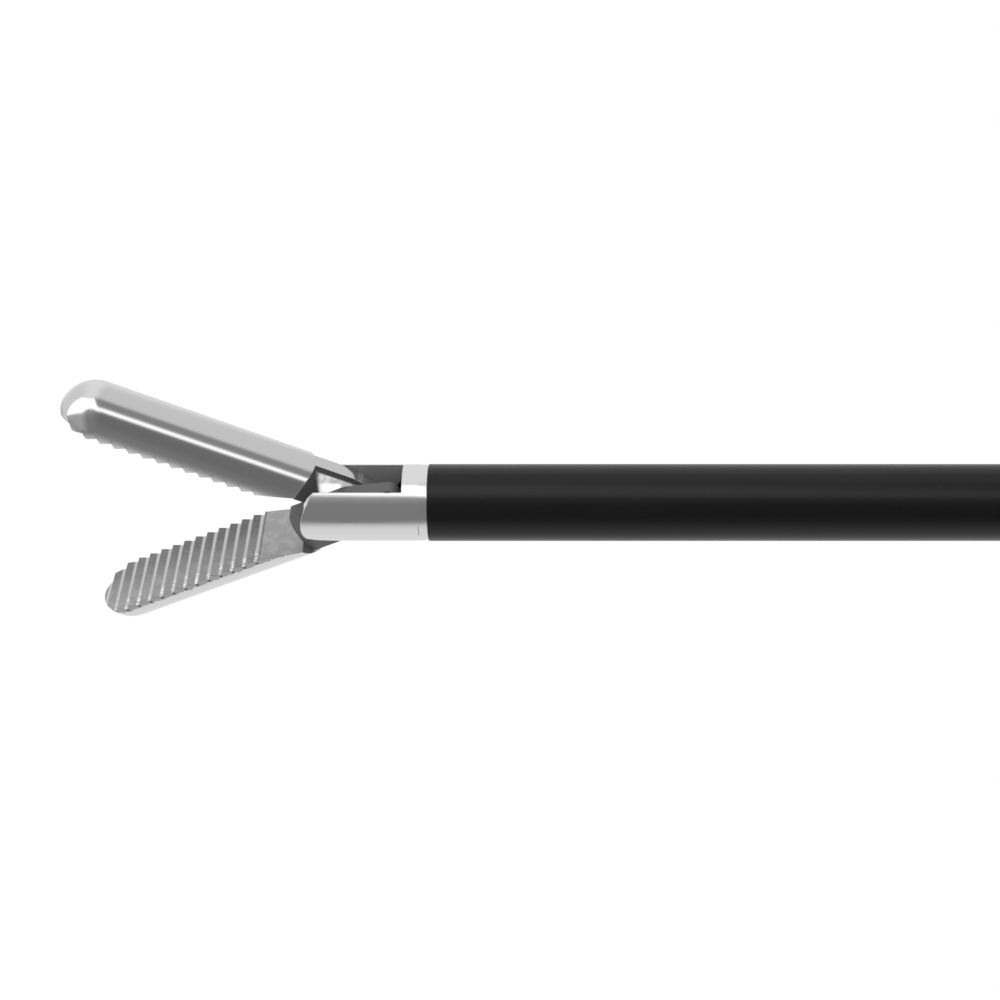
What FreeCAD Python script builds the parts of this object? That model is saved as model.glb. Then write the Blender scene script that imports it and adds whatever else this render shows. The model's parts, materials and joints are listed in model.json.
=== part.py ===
"""A 5 mm laparoscopic grasper: insulated shaft, double-action serrated jaws, ring handle with ratchet.

The frame is in millimetres with +Z up. The shaft's axis is the X axis and the jaws point to -X. The
origin is on that axis at the distal end of the black insulation, where the bare metal tip begins.
The jaws are shown open, as they rest, and open in the XZ plane. Positive swing of a joint closes.
"""

import FreeCAD, Part
import Sketcher
import math
import os

doc = FreeCAD.newDocument("laparoscopic_grasper")
sheet = doc.addObject("Spreadsheet::Sheet", "sizes")

# Driving sizes in millimetres and degrees, each written once and read everywhere by its name.
SIZES = {
    # Shaft
    "shaft_diameter": 5.0,
    "tube_diameter": 4.2,
    "tube_bore": 3.5,
    "working_length": 330.0,
    "sleeve_lap": 2.4,
    "lap_wall": 0.15,
    # Fork that carries the jaws
    "fork_diameter": 4.96,
    "pivot_setback": 5.1,
    "arm_reach": 3.05,
    "fork_gap": 2.6,
    "fork_depth": 3.45,
    "fork_taper": 0.62,
    "fork_taper_drop": 0.04,
    "spigot_length": 9.0,
    "yoke_bore": 3.2,
    "yoke_bore_depth": 2.6,
    "pivot_pin_diameter": 1.0,
    "running_clearance": 0.02,
    # Jaws
    "jaw_length": 19.3,
    "jaw_diameter": 4.5,
    "jaw_swing": 26.0,
    "shoulder_radius": 4.0,
    "hub_clearance": 0.1,
    "tang_thickness": 0.9,
    "tang_height": 3.4,
    "tang_tail": 0.72,
    "tooth_pitch": 0.92,
    "tooth_count": 14,
    "tooth_depth": 0.28,
    "tooth_rake": 26.0,
    "tooth_land": 0.04,
    "tooth_bite": 0.07,
    "heel_slope": 16.0,
    "face_gap": 0.03,
    # Push rod and its cross pin, which slides in the jaws' cam slots
    "rod_diameter": 2.0,
    "rod_travel": 1.6,
    "blade_thickness": 0.66,
    "blade_height": 1.6,
    "blade_nose": 0.74,
    "blade_length": 3.2,
    "drive_pin_diameter": 0.84,
    "drive_pin_length": 2.5,
    "drive_pin_reach": 1.3,
    "cam_clearance": 0.03,
    "ball_diameter": 3.0,
    "ball_neck": 1.6,
    "ball_stem": 7.0,
    "bush_length": 6.0,
    # Rotating knob, hub and seal
    "hub_diameter": 8.0,
    "hub_setback": 5.4,
    "hub_braze": 7.0,
    "rod_bore": 2.2,
    "journal_diameter": 7.2,
    "journal_clearance": 0.05,
    "flange_diameter": 10.0,
    "flange_width": 2.5,
    "knob_length": 23.6,
    "knob_diameter": 21.2,
    "knob_nose": 8.6,
    "flute_count": 8,
    "flute_radius": 2.8,
    "flute_depth": 1.5,
    "knob_gap": 0.4,
    "set_screw_diameter": 2.0,
    "seal_thickness": 1.1,
    "gland_width": 1.2,
    # Handle
    "lever_setback": 22.4,
    "lever_swing": 17.0,
    "handle_width": 14.0,
    "handle_top": 11.0,
    "edge_round": 2.4,
    "wall_top": 5.6,
    "cavity_width": 6.6,
    "side_clearance": 0.3,
    "bush_diameter": 10.0,
    "screw_diameter": 2.0,
    "screw_head_diameter": 3.8,
    "screw_head_depth": 1.6,
    "pivot_screw_diameter": 3.5,
    "pivot_head_diameter": 7.0,
    "lever_bush_diameter": 5.2,
    "finger_ring_width": 25.0,
    "finger_ring_length": 44.0,
    "ring_wall": 6.0,
    "finger_ring_drop": 66.0,
    "finger_ring_advance": 31.0,
    "finger_ring_tilt": 15.0,
    "thumb_reach": 76.7,
    "thumb_angle": 30.0,
    "thumb_ring_width": 23.0,
    "thumb_ring_length": 28.0,
    "thumb_ring_wall": 5.5,
    "lever_width": 9.0,
    "lever_thickness": 6.0,
    "thumb_ring_thickness": 10.0,
    "fork_width": 7.2,
    "fork_rise": 7.6,
    "lever_hub_diameter": 11.0,
    "ball_play": 0.05,
    # Ratchet and its release trigger
    "rack_radius": 35.0,
    "rack_width": 4.0,
    "rack_thickness": 2.0,
    "rack_tooth_depth": 0.8,
    "rack_tooth_angle": 2.6,
    "rack_tooth_count": 5,
    "pawl_clearance": 0.25,
    "trigger_thickness": 4.0,
    "trigger_pin_diameter": 2.0,
    # Electrode post and flushing port
    "post_diameter": 4.0,
    "post_height": 13.0,
    "post_setback": 5.0,
    "post_stem": 3.2,
    "insulator_diameter": 7.0,
    "insulator_height": 4.5,
    "port_bore": 4.2,
    "port_wall": 0.5,
    "port_height": 10.0,
    "port_depth": 8.0,
    "port_advance": 14.0,
    "leaf_thickness": 0.3,
    "leaf_width": 2.4,
}


def fill_sheet():
    """Writes each driving size to a row of the sheet: its name, then its number under that alias."""
    for row, (alias, number) in enumerate(SIZES.items(), start=1):
        sheet.set(f"A{row}", alias)
        sheet.set(f"B{row}", str(number))
        sheet.setAlias(f"B{row}", alias)
    doc.recompute()


fill_sheet()


class Sizes:
    """Reads a cell of the sheet as an attribute, so that sizes.shaft_diameter is a number here too."""

    def __getattr__(self, alias):
        return float(sheet.get(alias))


s = Sizes()

# Places along the shaft that several pieces share, as numbers here and as formulas for the sheet.
PIVOT_X = "-sizes.pivot_setback"
KNOB_X = "(sizes.working_length - sizes.jaw_length - sizes.pivot_setback)"
HUB_X = f"({KNOB_X} + sizes.hub_setback)"
HOUSING_X = f"({KNOB_X} + sizes.knob_length + sizes.knob_gap)"
LEVER_X = f"({HOUSING_X} + sizes.lever_setback)"
ARM = "(sizes.rod_travel / (sizes.lever_swing * pi / 180))"

knob_x = s.working_length - s.jaw_length - s.pivot_setback
hub_x = knob_x + s.hub_setback
housing_x = knob_x + s.knob_length + s.knob_gap
lever_x = housing_x + s.lever_setback
arm = s.rod_travel / math.radians(s.lever_swing)
lever_z = -arm
ball_x = lever_x - s.rod_travel / 2
half_gap = s.fork_gap / 2
play = (s.fork_gap - 2 * s.tang_thickness - s.blade_thickness) / 4
tang_inner = s.blade_thickness / 2 + play
pin_open = s.drive_pin_reach
pin_closed = s.drive_pin_reach + s.rod_travel


# Helpers for bodies, sketches and features

def plane_of(body, role):
    """The body's own origin plane or axis of that role."""
    return next(f for f in body.Origin.OriginFeatures if f.Role == role)


def new_body(label):
    body = doc.addObject("PartDesign::Body", label)
    body.Label = label
    return body


def new_sketch(body, name, role="XZ_Plane", offset=0.0):
    """A sketch on one of the body's origin planes, moved along the plane's normal by offset."""
    sketch = body.newObject("Sketcher::SketchObject", f"{body.Label}_{name}")
    sketch.AttachmentSupport = [(plane_of(body, role), "")]
    sketch.MapMode = "FlatFace"
    sketch.AttachmentOffset = FreeCAD.Placement(FreeCAD.Vector(0, 0, offset), FreeCAD.Rotation())
    return sketch


def value(formula):
    """The number that a formula on the sheet's cells gives now."""
    return float(sheet.evalExpression(formula))


def bound_polygon(sketch, corners):
    """Closes a polygon through corners, whose coordinates are formulas that the sketch stays bound to."""
    points = [FreeCAD.Vector(value(x), value(y), 0) for x, y in corners]
    first = sketch.GeometryCount
    count = len(points)
    for i in range(count):
        sketch.addGeometry(Part.LineSegment(points[i], points[(i + 1) % count]), False)
    for i in range(count):
        sketch.addConstraint(
            Sketcher.Constraint("Coincident", first + i, 2, first + (i + 1) % count, 1))
    for i, (x, y) in enumerate(corners):
        for kind, formula, number in (("DistanceX", x, points[i].x), ("DistanceY", y, points[i].y)):
            index = sketch.addConstraint(
                Sketcher.Constraint(kind, -1, 1, first + i, 1, number))
            sketch.setExpression(f"Constraints[{index}]", formula)


def bound_circle(sketch, x, y, radius):
    """A circle whose centre and radius are formulas that the sketch stays bound to."""
    centre = FreeCAD.Vector(value(x), value(y), 0)
    circle = sketch.addGeometry(
        Part.Circle(centre, FreeCAD.Vector(0, 0, 1), value(radius)), False)
    for kind, formula, number in (("DistanceX", x, centre.x), ("DistanceY", y, centre.y)):
        index = sketch.addConstraint(Sketcher.Constraint(kind, -1, 1, circle, 3, number))
        sketch.setExpression(f"Constraints[{index}]", formula)
    index = sketch.addConstraint(Sketcher.Constraint("Radius", circle, value(radius)))
    sketch.setExpression(f"Constraints[{index}]", radius)


def rounded_outline(corners):
    """Edges of a closed outline through corners (x, y, radius), each corner rounded by a tangent arc."""
    points = [FreeCAD.Vector(x, y, 0) for x, y, _ in corners]
    count = len(points)
    ends = []
    arcs = []
    for i, (_, _, radius) in enumerate(corners):
        before = (points[i - 1] - points[i]).normalize()
        after = (points[(i + 1) % count] - points[i]).normalize()
        turn = before.getAngle(after)
        if radius <= 0 or turn > math.pi - 1e-6:
            ends.append((points[i], points[i]))
            continue
        reach = radius / math.tan(turn / 2)
        start = points[i] + before * reach
        end = points[i] + after * reach
        bisector = (before + after).normalize()
        middle = points[i] + bisector * (radius / math.sin(turn / 2) - radius)
        arcs.append(Part.Arc(start, middle, end))
        ends.append((start, end))
    lines = []
    for i in range(count):
        start = ends[i][1]
        end = ends[(i + 1) % count][0]
        if (end - start).Length > 1e-6:
            lines.append(Part.LineSegment(start, end))
    return lines + arcs


def draw(sketch, edges):
    for edge in edges:
        sketch.addGeometry(edge, False)


def ring_corners(centre, along, half_length, half_width, radius):
    """The four corners of a rounded oval whose long axis runs along a direction."""
    across = FreeCAD.Vector(-along.y, along.x, 0)
    corners = []
    for length_sign, width_sign in ((-1, 1), (1, 1), (1, -1), (-1, -1)):
        point = centre + along * (length_sign * half_length) + across * (width_sign * half_width)
        corners.append((point.x, point.y, radius))
    return corners


def pad(body, name, sketch, length, side="Symmetric", flip=False):
    feature = body.newObject("PartDesign::Pad", f"{body.Label}_{name}")
    feature.Profile = sketch
    feature.SideType = side
    feature.Reversed = flip
    feature.setExpression("Length", length)
    return feature


def cut(body, name, sketch, length):
    """A pocket that cuts the same depth to both sides of its sketch; length is the whole of it."""
    doc.recompute()
    before = body.Shape.Volume
    feature = body.newObject("PartDesign::Pocket", f"{body.Label}_{name}")
    feature.Profile = sketch
    feature.SideType = "Symmetric"
    feature.setExpression("Length", length)
    doc.recompute()
    if not body.Shape.Volume < before - 1e-6:
        raise RuntimeError(f"{body.Label}: the pocket {name} cuts nothing")
    return feature


def revolve(body, name, sketch, axis="H_Axis", remove=False):
    """Turns the sketch a full turn about its own horizontal or vertical axis, as metal or as a cut."""
    kind = "PartDesign::Groove" if remove else "PartDesign::Revolution"
    feature = body.newObject(kind, f"{body.Label}_{name}")
    feature.Profile = sketch
    feature.ReferenceAxis = (sketch, [axis])
    feature.Angle = 360
    return feature


def turned(label, corners):
    """A body turned about the shaft's axis from a half profile of bound corners."""
    body = new_body(label)
    sketch = new_sketch(body, "profile")
    bound_polygon(sketch, corners)
    revolve(body, "turned", sketch)
    return body


def lies_at(edge, depth):
    """Whether the whole edge is in the plane at that depth along Y."""
    return all(abs(v.Y - depth) < 1e-4 for v in edge.Vertexes) and abs(
        edge.CenterOfMass.y - depth) < 1e-4


def within(edge, centre, along, half_length, half_width):
    """Whether every end of the edge is in the oval's box, given in the sketch's X and Y."""
    for vertex in edge.Vertexes:
        across, down = vertex.X - centre.x, vertex.Z - centre.y
        lengthwise = abs(across * along.x + down * along.y)
        sideways = abs(down * along.x - across * along.y)
        if lengthwise > half_length + 0.1 or sideways > half_width + 0.1:
            return False
    return True


def round_edges(body, name, base, wanted, radius, kind="Chamfer"):
    """Fillets or chamfers the edges of a feature for which wanted(edge) is true."""
    doc.recompute()
    names = [f"Edge{i}" for i, edge in enumerate(base.Shape.Edges, start=1) if wanted(edge)]
    feature = body.newObject(f"PartDesign::{kind}", f"{body.Label}_{name}")
    feature.Base = (base, names)
    feature.setExpression("Radius" if kind == "Fillet" else "Size", radius)
    doc.recompute()
    if "Invalid" in feature.State:
        print(f"{body.Label}: the rounding {name} was left out")
        body.removeObject(feature)
        doc.removeObject(feature.Name)
        body.Tip = base
        doc.recompute()
        return base
    return feature


def cylinder(label, radius, length, start, axis):
    """A Part cylinder along an axis letter, from a start point of formulas."""
    turns = {"X": (FreeCAD.Vector(0, 1, 0), 90), "Y": (FreeCAD.Vector(1, 0, 0), -90),
             "Z": (FreeCAD.Vector(0, 0, 1), 0)}
    piece = doc.addObject("Part::Cylinder", label)
    piece.Label = label
    piece.setExpression("Radius", radius)
    piece.setExpression("Height", length)
    piece.Placement = FreeCAD.Placement(FreeCAD.Vector(0, 0, 0), FreeCAD.Rotation(*turns[axis]))
    for letter, formula in zip("xyz", start):
        piece.setExpression(f"Placement.Base.{letter}", formula)
    return piece


parts = []


def keep(*objects):
    """Counts these objects among the pieces of the instrument, under their labels."""
    parts.extend(objects)


# Jaws: half-round bars with a serrated face, each on a flat tang with a cam slot.

def cam_slot(centre_line_half_width):
    """Edges of the slot that the drive pin runs in, in the closed jaw's own frame.

    Its centre line is the spiral radius = closed reach - travel * angle / swing, so the pin's travel
    and the jaw's swing stay in one constant ratio.
    """
    swing = math.radians(s.jaw_swing)
    rate = s.rod_travel / swing
    places = 9
    sides = ([], [])
    ends = []
    for i in range(places):
        angle = swing * i / (places - 1)
        radius = pin_closed - rate * angle
        radial = FreeCAD.Vector(math.cos(angle), math.sin(angle), 0)
        sideways = FreeCAD.Vector(-math.sin(angle), math.cos(angle), 0)
        tangent = (radial * -rate + sideways * radius).normalize()
        normal = FreeCAD.Vector(-tangent.y, tangent.x, 0)
        point = radial * radius
        sides[0].append(point + normal * centre_line_half_width)
        sides[1].append(point - normal * centre_line_half_width)
        ends.append((point, tangent))
    edges = []
    for points in sides:
        curve = Part.BSplineCurve()
        curve.interpolate(points)
        edges.append(curve)
    first, first_tangent = ends[0]
    last, last_tangent = ends[-1]
    edges.append(Part.Arc(sides[0][0], first - first_tangent * centre_line_half_width, sides[1][0]))
    edges.append(Part.Arc(sides[0][-1], last + last_tangent * centre_line_half_width, sides[1][-1]))
    return edges


def make_jaw(label, flip, tooth_shift):
    """One jaw, drawn closed about its own pivot with its back up, then turned over and opened."""
    body = new_body(label)
    nose = s.jaw_diameter / 2
    # The bar is a bullet turned about the jaw's axis
    bar = new_sketch(body, "bar_profile")
    root = -s.shoulder_radius + 1.6
    tip = -s.jaw_length
    shoulder = FreeCAD.Vector(tip + nose, nose, 0)
    bend = FreeCAD.Vector(tip + nose - nose * math.cos(math.pi / 4), nose * math.sin(math.pi / 4), 0)
    draw(bar, [
        Part.LineSegment(FreeCAD.Vector(root, 0, 0), FreeCAD.Vector(root, nose, 0)),
        Part.LineSegment(FreeCAD.Vector(root, nose, 0), shoulder),
        Part.Arc(shoulder, bend, FreeCAD.Vector(tip, 0, 0)),
        Part.LineSegment(FreeCAD.Vector(tip, 0, 0), FreeCAD.Vector(root, 0, 0)),
    ])
    revolve(body, "bar", bar)
    # Everything below the biting face goes; behind the teeth the heel slopes back to the shoulder
    face = new_sketch(body, "face_profile")
    row_end = f"(-sizes.jaw_length + (sizes.tooth_count - 0.35 + {tooth_shift}) * sizes.tooth_pitch)"
    bound_polygon(face, [
        ("-sizes.jaw_length - 1", "-sizes.tooth_bite"),
        (row_end, "-sizes.tooth_bite"),
        (row_end, "sizes.face_gap"),
        ("0", f"sizes.face_gap - {row_end} * tan(sizes.heel_slope * 1 deg)"),
        ("0", "-sizes.jaw_diameter"),
        ("-sizes.jaw_length - 1", "-sizes.jaw_diameter"),
    ])
    cut(body, "face", face, "2 * sizes.jaw_diameter")
    # The hollow shoulder runs round the pivot, clear of the fork's rounded arms
    shoulder_sketch = new_sketch(body, "shoulder_profile")
    bound_circle(shoulder_sketch, "0", "0", "sizes.shoulder_radius")
    cut(body, "shoulder", shoulder_sketch, "2 * sizes.jaw_diameter")
    # One saw groove at the row's rear end, then the row of them towards the tip
    groove = new_sketch(body, "groove_profile")
    run = "(sizes.tooth_depth / tan(sizes.tooth_rake * 1 deg))"
    rise = "(sizes.tooth_pitch - sizes.tooth_land - sizes.tooth_depth / tan(sizes.tooth_rake * 1 deg))"
    bound_polygon(groove, [
        (f"{row_end} - {rise}", "sizes.tooth_depth - sizes.tooth_bite"),
        (f"{row_end} + {rise}", "-sizes.tooth_depth - sizes.tooth_bite"),
        (f"{row_end} - {rise} - 2 * {run}", "-sizes.tooth_depth - sizes.tooth_bite"),
    ])
    groove_cut = body.newObject("PartDesign::Pocket", f"{label}_groove")
    groove_cut.Profile = groove
    groove_cut.SideType = "Symmetric"
    groove_cut.setExpression("Length", "2 * sizes.jaw_diameter")
    row = body.newObject("PartDesign::LinearPattern", f"{label}_teeth")
    row.Originals = [groove_cut]
    row.Direction = (plane_of(body, "X_Axis"), [""])
    row.Reversed = True
    row.setExpression("Length", "sizes.tooth_pitch * (sizes.tooth_count - 1)")
    row.setExpression("Occurrences", "sizes.tooth_count")
    body.Tip = row
    # The tang is a flat plate beside the blade of the push rod, with a round front that keeps the
    # gap between the open jaws closed
    tang = new_sketch(body, "tang_profile", offset=-(tang_inner + s.tang_thickness / 2))
    half = s.tang_height / 2
    tail = pin_closed + s.tang_tail
    hub = s.shoulder_radius - s.hub_clearance
    sweep = math.asin((half - 0.15) / hub)
    sunk = -s.shoulder_radius - 0.8
    slope = math.tan(math.radians(s.heel_slope))
    heel = s.face_gap + 0.02 - value(row_end) * slope
    draw(tang, rounded_outline([
        (sunk, half, 0),
        (-0.5, half, 1.2),
        (tail, s.tang_tail, s.tang_tail * 0.98),
        (tail, -s.tang_tail, s.tang_tail * 0.98),
        (0.5, -half, 1.2),
        (-hub * math.cos(sweep) + 0.15 * math.tan(sweep), -half, 0.2),
        (-hub, -hub * math.tan(sweep / 2), hub * 0.99),
        (-hub, heel - hub * slope, 0),
        (sunk, heel + sunk * slope, 0),
    ]))
    pad(body, "tang", tang, "sizes.tang_thickness")
    doc.recompute()
    holes = new_sketch(body, "pivot_hole_profile")
    bound_circle(holes, "0", "0", "sizes.pivot_pin_diameter / 2 + sizes.running_clearance")
    cut(body, "pivot_hole", holes, "2 * sizes.fork_gap")
    slot = new_sketch(body, "cam_profile")
    draw(slot, cam_slot(s.drive_pin_diameter / 2 + s.cam_clearance))
    cut(body, "cam", slot, "2 * sizes.fork_gap")
    # Placed on the pivot, turned over for the lower jaw, and opened by the swing
    opened = FreeCAD.Rotation(FreeCAD.Vector(0, 1, 0), -s.jaw_swing if flip else s.jaw_swing)
    over = FreeCAD.Rotation(FreeCAD.Vector(1, 0, 0), 180 if flip else 0)
    body.Placement = FreeCAD.Placement(FreeCAD.Vector(0, 0, 0), opened.multiply(over))
    body.setExpression("Placement.Base.x", PIVOT_X)
    return body


upper_jaw = make_jaw("upper_jaw", False, "0.5")
lower_jaw = make_jaw("lower_jaw", True, "0")
keep(upper_jaw, lower_jaw)


# Fork, or clevis: two arms with round ends, and a spigot inside the tube.

def make_clevis():
    body = turned("clevis", [
        (f"{PIVOT_X} - sizes.arm_reach", "0"),
        (f"{PIVOT_X} - sizes.arm_reach", "sizes.fork_diameter / 2"),
        ("-sizes.fork_taper", "sizes.fork_diameter / 2"),
        ("0", "sizes.fork_diameter / 2 - sizes.fork_taper_drop"),
        ("0", "sizes.tube_bore / 2"),
        ("sizes.spigot_length", "sizes.tube_bore / 2"),
        ("sizes.spigot_length", "0"),
    ])
    # What is outside the arms' round ends goes
    ends = new_sketch(body, "arm_ends_profile")
    reach = s.arm_reach
    pivot = -s.pivot_setback
    high = s.fork_diameter
    top = math.sqrt(reach ** 2 - (s.fork_diameter / 2) ** 2)
    rim = s.fork_diameter / 2
    for sign in (1, -1):
        start = FreeCAD.Vector(pivot - reach, 0, 0)
        corner = FreeCAD.Vector(pivot - top, sign * rim, 0)
        middle = FreeCAD.Vector(pivot - reach * math.cos(math.asin(rim / reach) / 2),
                                sign * reach * math.sin(math.asin(rim / reach) / 2), 0)
        over = FreeCAD.Vector(pivot - top, sign * high, 0)
        out = FreeCAD.Vector(pivot - reach, sign * high, 0)
        draw(ends, [Part.Arc(start, middle, corner), Part.LineSegment(corner, over),
                    Part.LineSegment(over, out), Part.LineSegment(out, start)])
    cut(body, "arm_ends", ends, "2 * sizes.fork_diameter")
    gap = new_sketch(body, "gap_profile")
    bound_polygon(gap, [
        (f"{PIVOT_X} - sizes.arm_reach - 1", "-sizes.fork_diameter"),
        (f"{PIVOT_X} + sizes.fork_depth", "-sizes.fork_diameter"),
        (f"{PIVOT_X} + sizes.fork_depth", "sizes.fork_diameter"),
        (f"{PIVOT_X} - sizes.arm_reach - 1", "sizes.fork_diameter"),
    ])
    cut(body, "gap", gap, "sizes.fork_gap")
    bore = new_sketch(body, "bore_profile")
    bound_polygon(bore, [
        (f"{PIVOT_X} + sizes.fork_depth - 1", "0"),
        (f"{PIVOT_X} + sizes.fork_depth - 1", "sizes.rod_bore / 2"),
        (f"{PIVOT_X} + sizes.fork_depth", "sizes.yoke_bore / 2"),
        (f"{PIVOT_X} + sizes.fork_depth + sizes.yoke_bore_depth", "sizes.yoke_bore / 2"),
        (f"{PIVOT_X} + sizes.fork_depth + sizes.yoke_bore_depth", "sizes.rod_bore / 2"),
        ("sizes.spigot_length + 1", "sizes.rod_bore / 2"),
        ("sizes.spigot_length + 1", "0"),
    ])
    revolve(body, "bore", bore, remove=True)
    holes = new_sketch(body, "pin_hole_profile")
    bound_circle(holes, PIVOT_X, "0", "sizes.pivot_pin_diameter / 2")
    cut(body, "pin_hole", holes, "2 * sizes.fork_diameter")
    return body


keep(make_clevis())


def make_pivot_pin():
    """The jaws' pin, riveted over and ground flush with the fork's round sides."""
    pin = doc.addObject("Part::Common", "jaw_pivot_pin")
    pin.Label = "jaw_pivot_pin"
    pin.Base = cylinder("jaw_pivot_bar", "sizes.pivot_pin_diameter / 2", "2 * sizes.fork_diameter",
                        (PIVOT_X, "-sizes.fork_diameter", "0"), "Y")
    pin.Tool = cylinder("jaw_pivot_sides", "sizes.fork_diameter / 2",
                        "2 * sizes.pivot_pin_diameter",
                        (f"{PIVOT_X} - sizes.pivot_pin_diameter", "0", "0"), "X")
    return pin


keep(make_pivot_pin())

keep(cylinder("drive_pin", "sizes.drive_pin_diameter / 2", "sizes.drive_pin_length",
              (f"{PIVOT_X} + sizes.drive_pin_reach", "-sizes.drive_pin_length / 2", "0"), "Y"))

# Tube and insulation

TUBE_END = f"({HUB_X} + sizes.hub_braze)"
SLEEVE_END = f"({KNOB_X} + sizes.sleeve_lap)"
LAP = "(sizes.tube_diameter / 2 + sizes.lap_wall)"

keep(turned("shaft_tube", [
    ("0", "sizes.tube_bore / 2"), ("0", "sizes.tube_diameter / 2"),
    (TUBE_END, "sizes.tube_diameter / 2"), (TUBE_END, "sizes.tube_bore / 2")]))

keep(turned("insulation_sleeve", [
    ("0", "sizes.tube_diameter / 2"), ("0", "sizes.shaft_diameter / 2"),
    (KNOB_X, "sizes.shaft_diameter / 2"), (KNOB_X, LAP), (SLEEVE_END, LAP),
    (SLEEVE_END, "sizes.tube_diameter / 2")]))


def rod_bush(label, start):
    """A plain bush in the tube that keeps the long push rod central."""
    return turned(label, [
        (start, "sizes.rod_bore / 2"), (start, "sizes.tube_bore / 2"),
        (f"{start} + sizes.bush_length", "sizes.tube_bore / 2"),
        (f"{start} + sizes.bush_length", "sizes.rod_bore / 2")])


keep(rod_bush("distal_rod_bush", "sizes.working_length / 3"),
     rod_bush("proximal_rod_bush", "sizes.working_length * 2 / 3"))


# Push rod: a long round rod, flattened to a blade at the jaws.

def make_push_rod():
    pin = f"{PIVOT_X} + sizes.drive_pin_reach"
    step = f"({pin} - sizes.blade_nose + sizes.blade_length)"
    joint = f"({LEVER_X} - sizes.rod_travel / 2 - sizes.ball_stem)"
    body = turned("push_rod", [
        (step, "0"), (step, "sizes.rod_diameter / 2"),
        (joint, "sizes.rod_diameter / 2"), (joint, "sizes.rod_diameter / 4"),
        (f"{joint} + sizes.rod_diameter", "sizes.rod_diameter / 4"),
        (f"{joint} + sizes.rod_diameter", "0")])
    blade = new_sketch(body, "blade_profile")
    nose = s.drive_pin_reach - s.pivot_setback - s.blade_nose
    half = s.blade_height / 2
    draw(blade, rounded_outline([
        (nose, half, 0.6), (nose + s.blade_length + 1.0, half, 0),
        (nose + s.blade_length + 1.0, -half, 0), (nose, -half, 0.6)]))
    pad(body, "blade", blade, "sizes.blade_thickness")
    doc.recompute()
    hole = new_sketch(body, "pin_hole_profile")
    bound_circle(hole, pin, "0", "sizes.drive_pin_diameter / 2")
    cut(body, "pin_hole", hole, "2 * sizes.rod_diameter")
    return body


keep(make_push_rod())


def make_ball_end():
    """The ball that the lever's fork pulls, screwed on the rod's stud."""
    body = new_body("ball_end")
    sketch = new_sketch(body, "profile")
    joint = ball_x - s.ball_stem
    stud = s.rod_diameter / 4
    neck = s.ball_neck / 2
    ball = s.ball_diameter / 2
    collar = joint + s.rod_diameter * 1.3
    waist = ball_x - math.sqrt(ball ** 2 - neck ** 2)
    points = [(joint + s.rod_diameter, 0), (joint + s.rod_diameter, stud), (joint, stud),
              (joint, s.rod_diameter / 2), (collar, s.rod_diameter / 2), (collar, neck),
              (waist, neck)]
    vectors = [FreeCAD.Vector(x, y, 0) for x, y in points]
    end = FreeCAD.Vector(ball_x + ball, 0, 0)
    draw(sketch, [Part.LineSegment(a, b) for a, b in zip(vectors, vectors[1:])]
         + [Part.Arc(vectors[-1], FreeCAD.Vector(ball_x, ball, 0), end),
            Part.LineSegment(end, vectors[0])])
    revolve(body, "turned", sketch)
    return body


keep(make_ball_end())

# Hub: brazed on the tube, it turns in the housing and carries the knob and the rod seal.

JOURNAL_X = HOUSING_X
FLANGE_X = f"({HOUSING_X} + 4.2)"
FLANGE_END = f"({FLANGE_X} + sizes.flange_width)"
HUB_END = f"({HOUSING_X} + 15.4)"
SEAL_X = f"({HUB_END} - sizes.gland_width - sizes.seal_thickness)"

keep(turned("shaft_hub", [
    (HUB_X, "sizes.tube_diameter / 2"), (HUB_X, "sizes.hub_diameter / 2"),
    (JOURNAL_X, "sizes.hub_diameter / 2"), (JOURNAL_X, "sizes.journal_diameter / 2"),
    (FLANGE_X, "sizes.journal_diameter / 2"), (FLANGE_X, "sizes.flange_diameter / 2"),
    (FLANGE_END, "sizes.flange_diameter / 2"), (FLANGE_END, "sizes.journal_diameter / 2"),
    (HUB_END, "sizes.journal_diameter / 2"),
    (HUB_END, "sizes.rod_diameter / 2 + sizes.seal_thickness"),
    (SEAL_X, "sizes.rod_diameter / 2 + sizes.seal_thickness"),
    (SEAL_X, "sizes.rod_bore / 2"), (TUBE_END, "sizes.rod_bore / 2"),
    (TUBE_END, "sizes.tube_diameter / 2")]))

keep(turned("seal_gland", [
    (f"{HUB_END} - sizes.gland_width", "sizes.rod_bore / 2"),
    (f"{HUB_END} - sizes.gland_width", "sizes.rod_diameter / 2 + sizes.seal_thickness"),
    (HUB_END, "sizes.rod_diameter / 2 + sizes.seal_thickness"),
    (HUB_END, "sizes.rod_bore / 2")]))


SEAL_REAR = f"({SEAL_X} + sizes.seal_thickness)"
SEAL_INNER = "(sizes.rod_diameter / 2 + sizes.running_clearance)"
SEAL_OUTER = "(sizes.rod_diameter / 2 + sizes.seal_thickness)"

keep(turned("rod_seal", [
    (f"{SEAL_X} + 0.3", SEAL_INNER), (SEAL_X, f"{SEAL_INNER} + 0.3"),
    (SEAL_X, f"{SEAL_OUTER} - 0.2"), (f"{SEAL_X} + 0.2", SEAL_OUTER),
    (f"{SEAL_REAR} - 0.2", SEAL_OUTER), (SEAL_REAR, f"{SEAL_OUTER} - 0.2"),
    (SEAL_REAR, f"{SEAL_INNER} + 0.3"), (f"{SEAL_REAR} - 0.3", SEAL_INNER)]))


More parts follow.
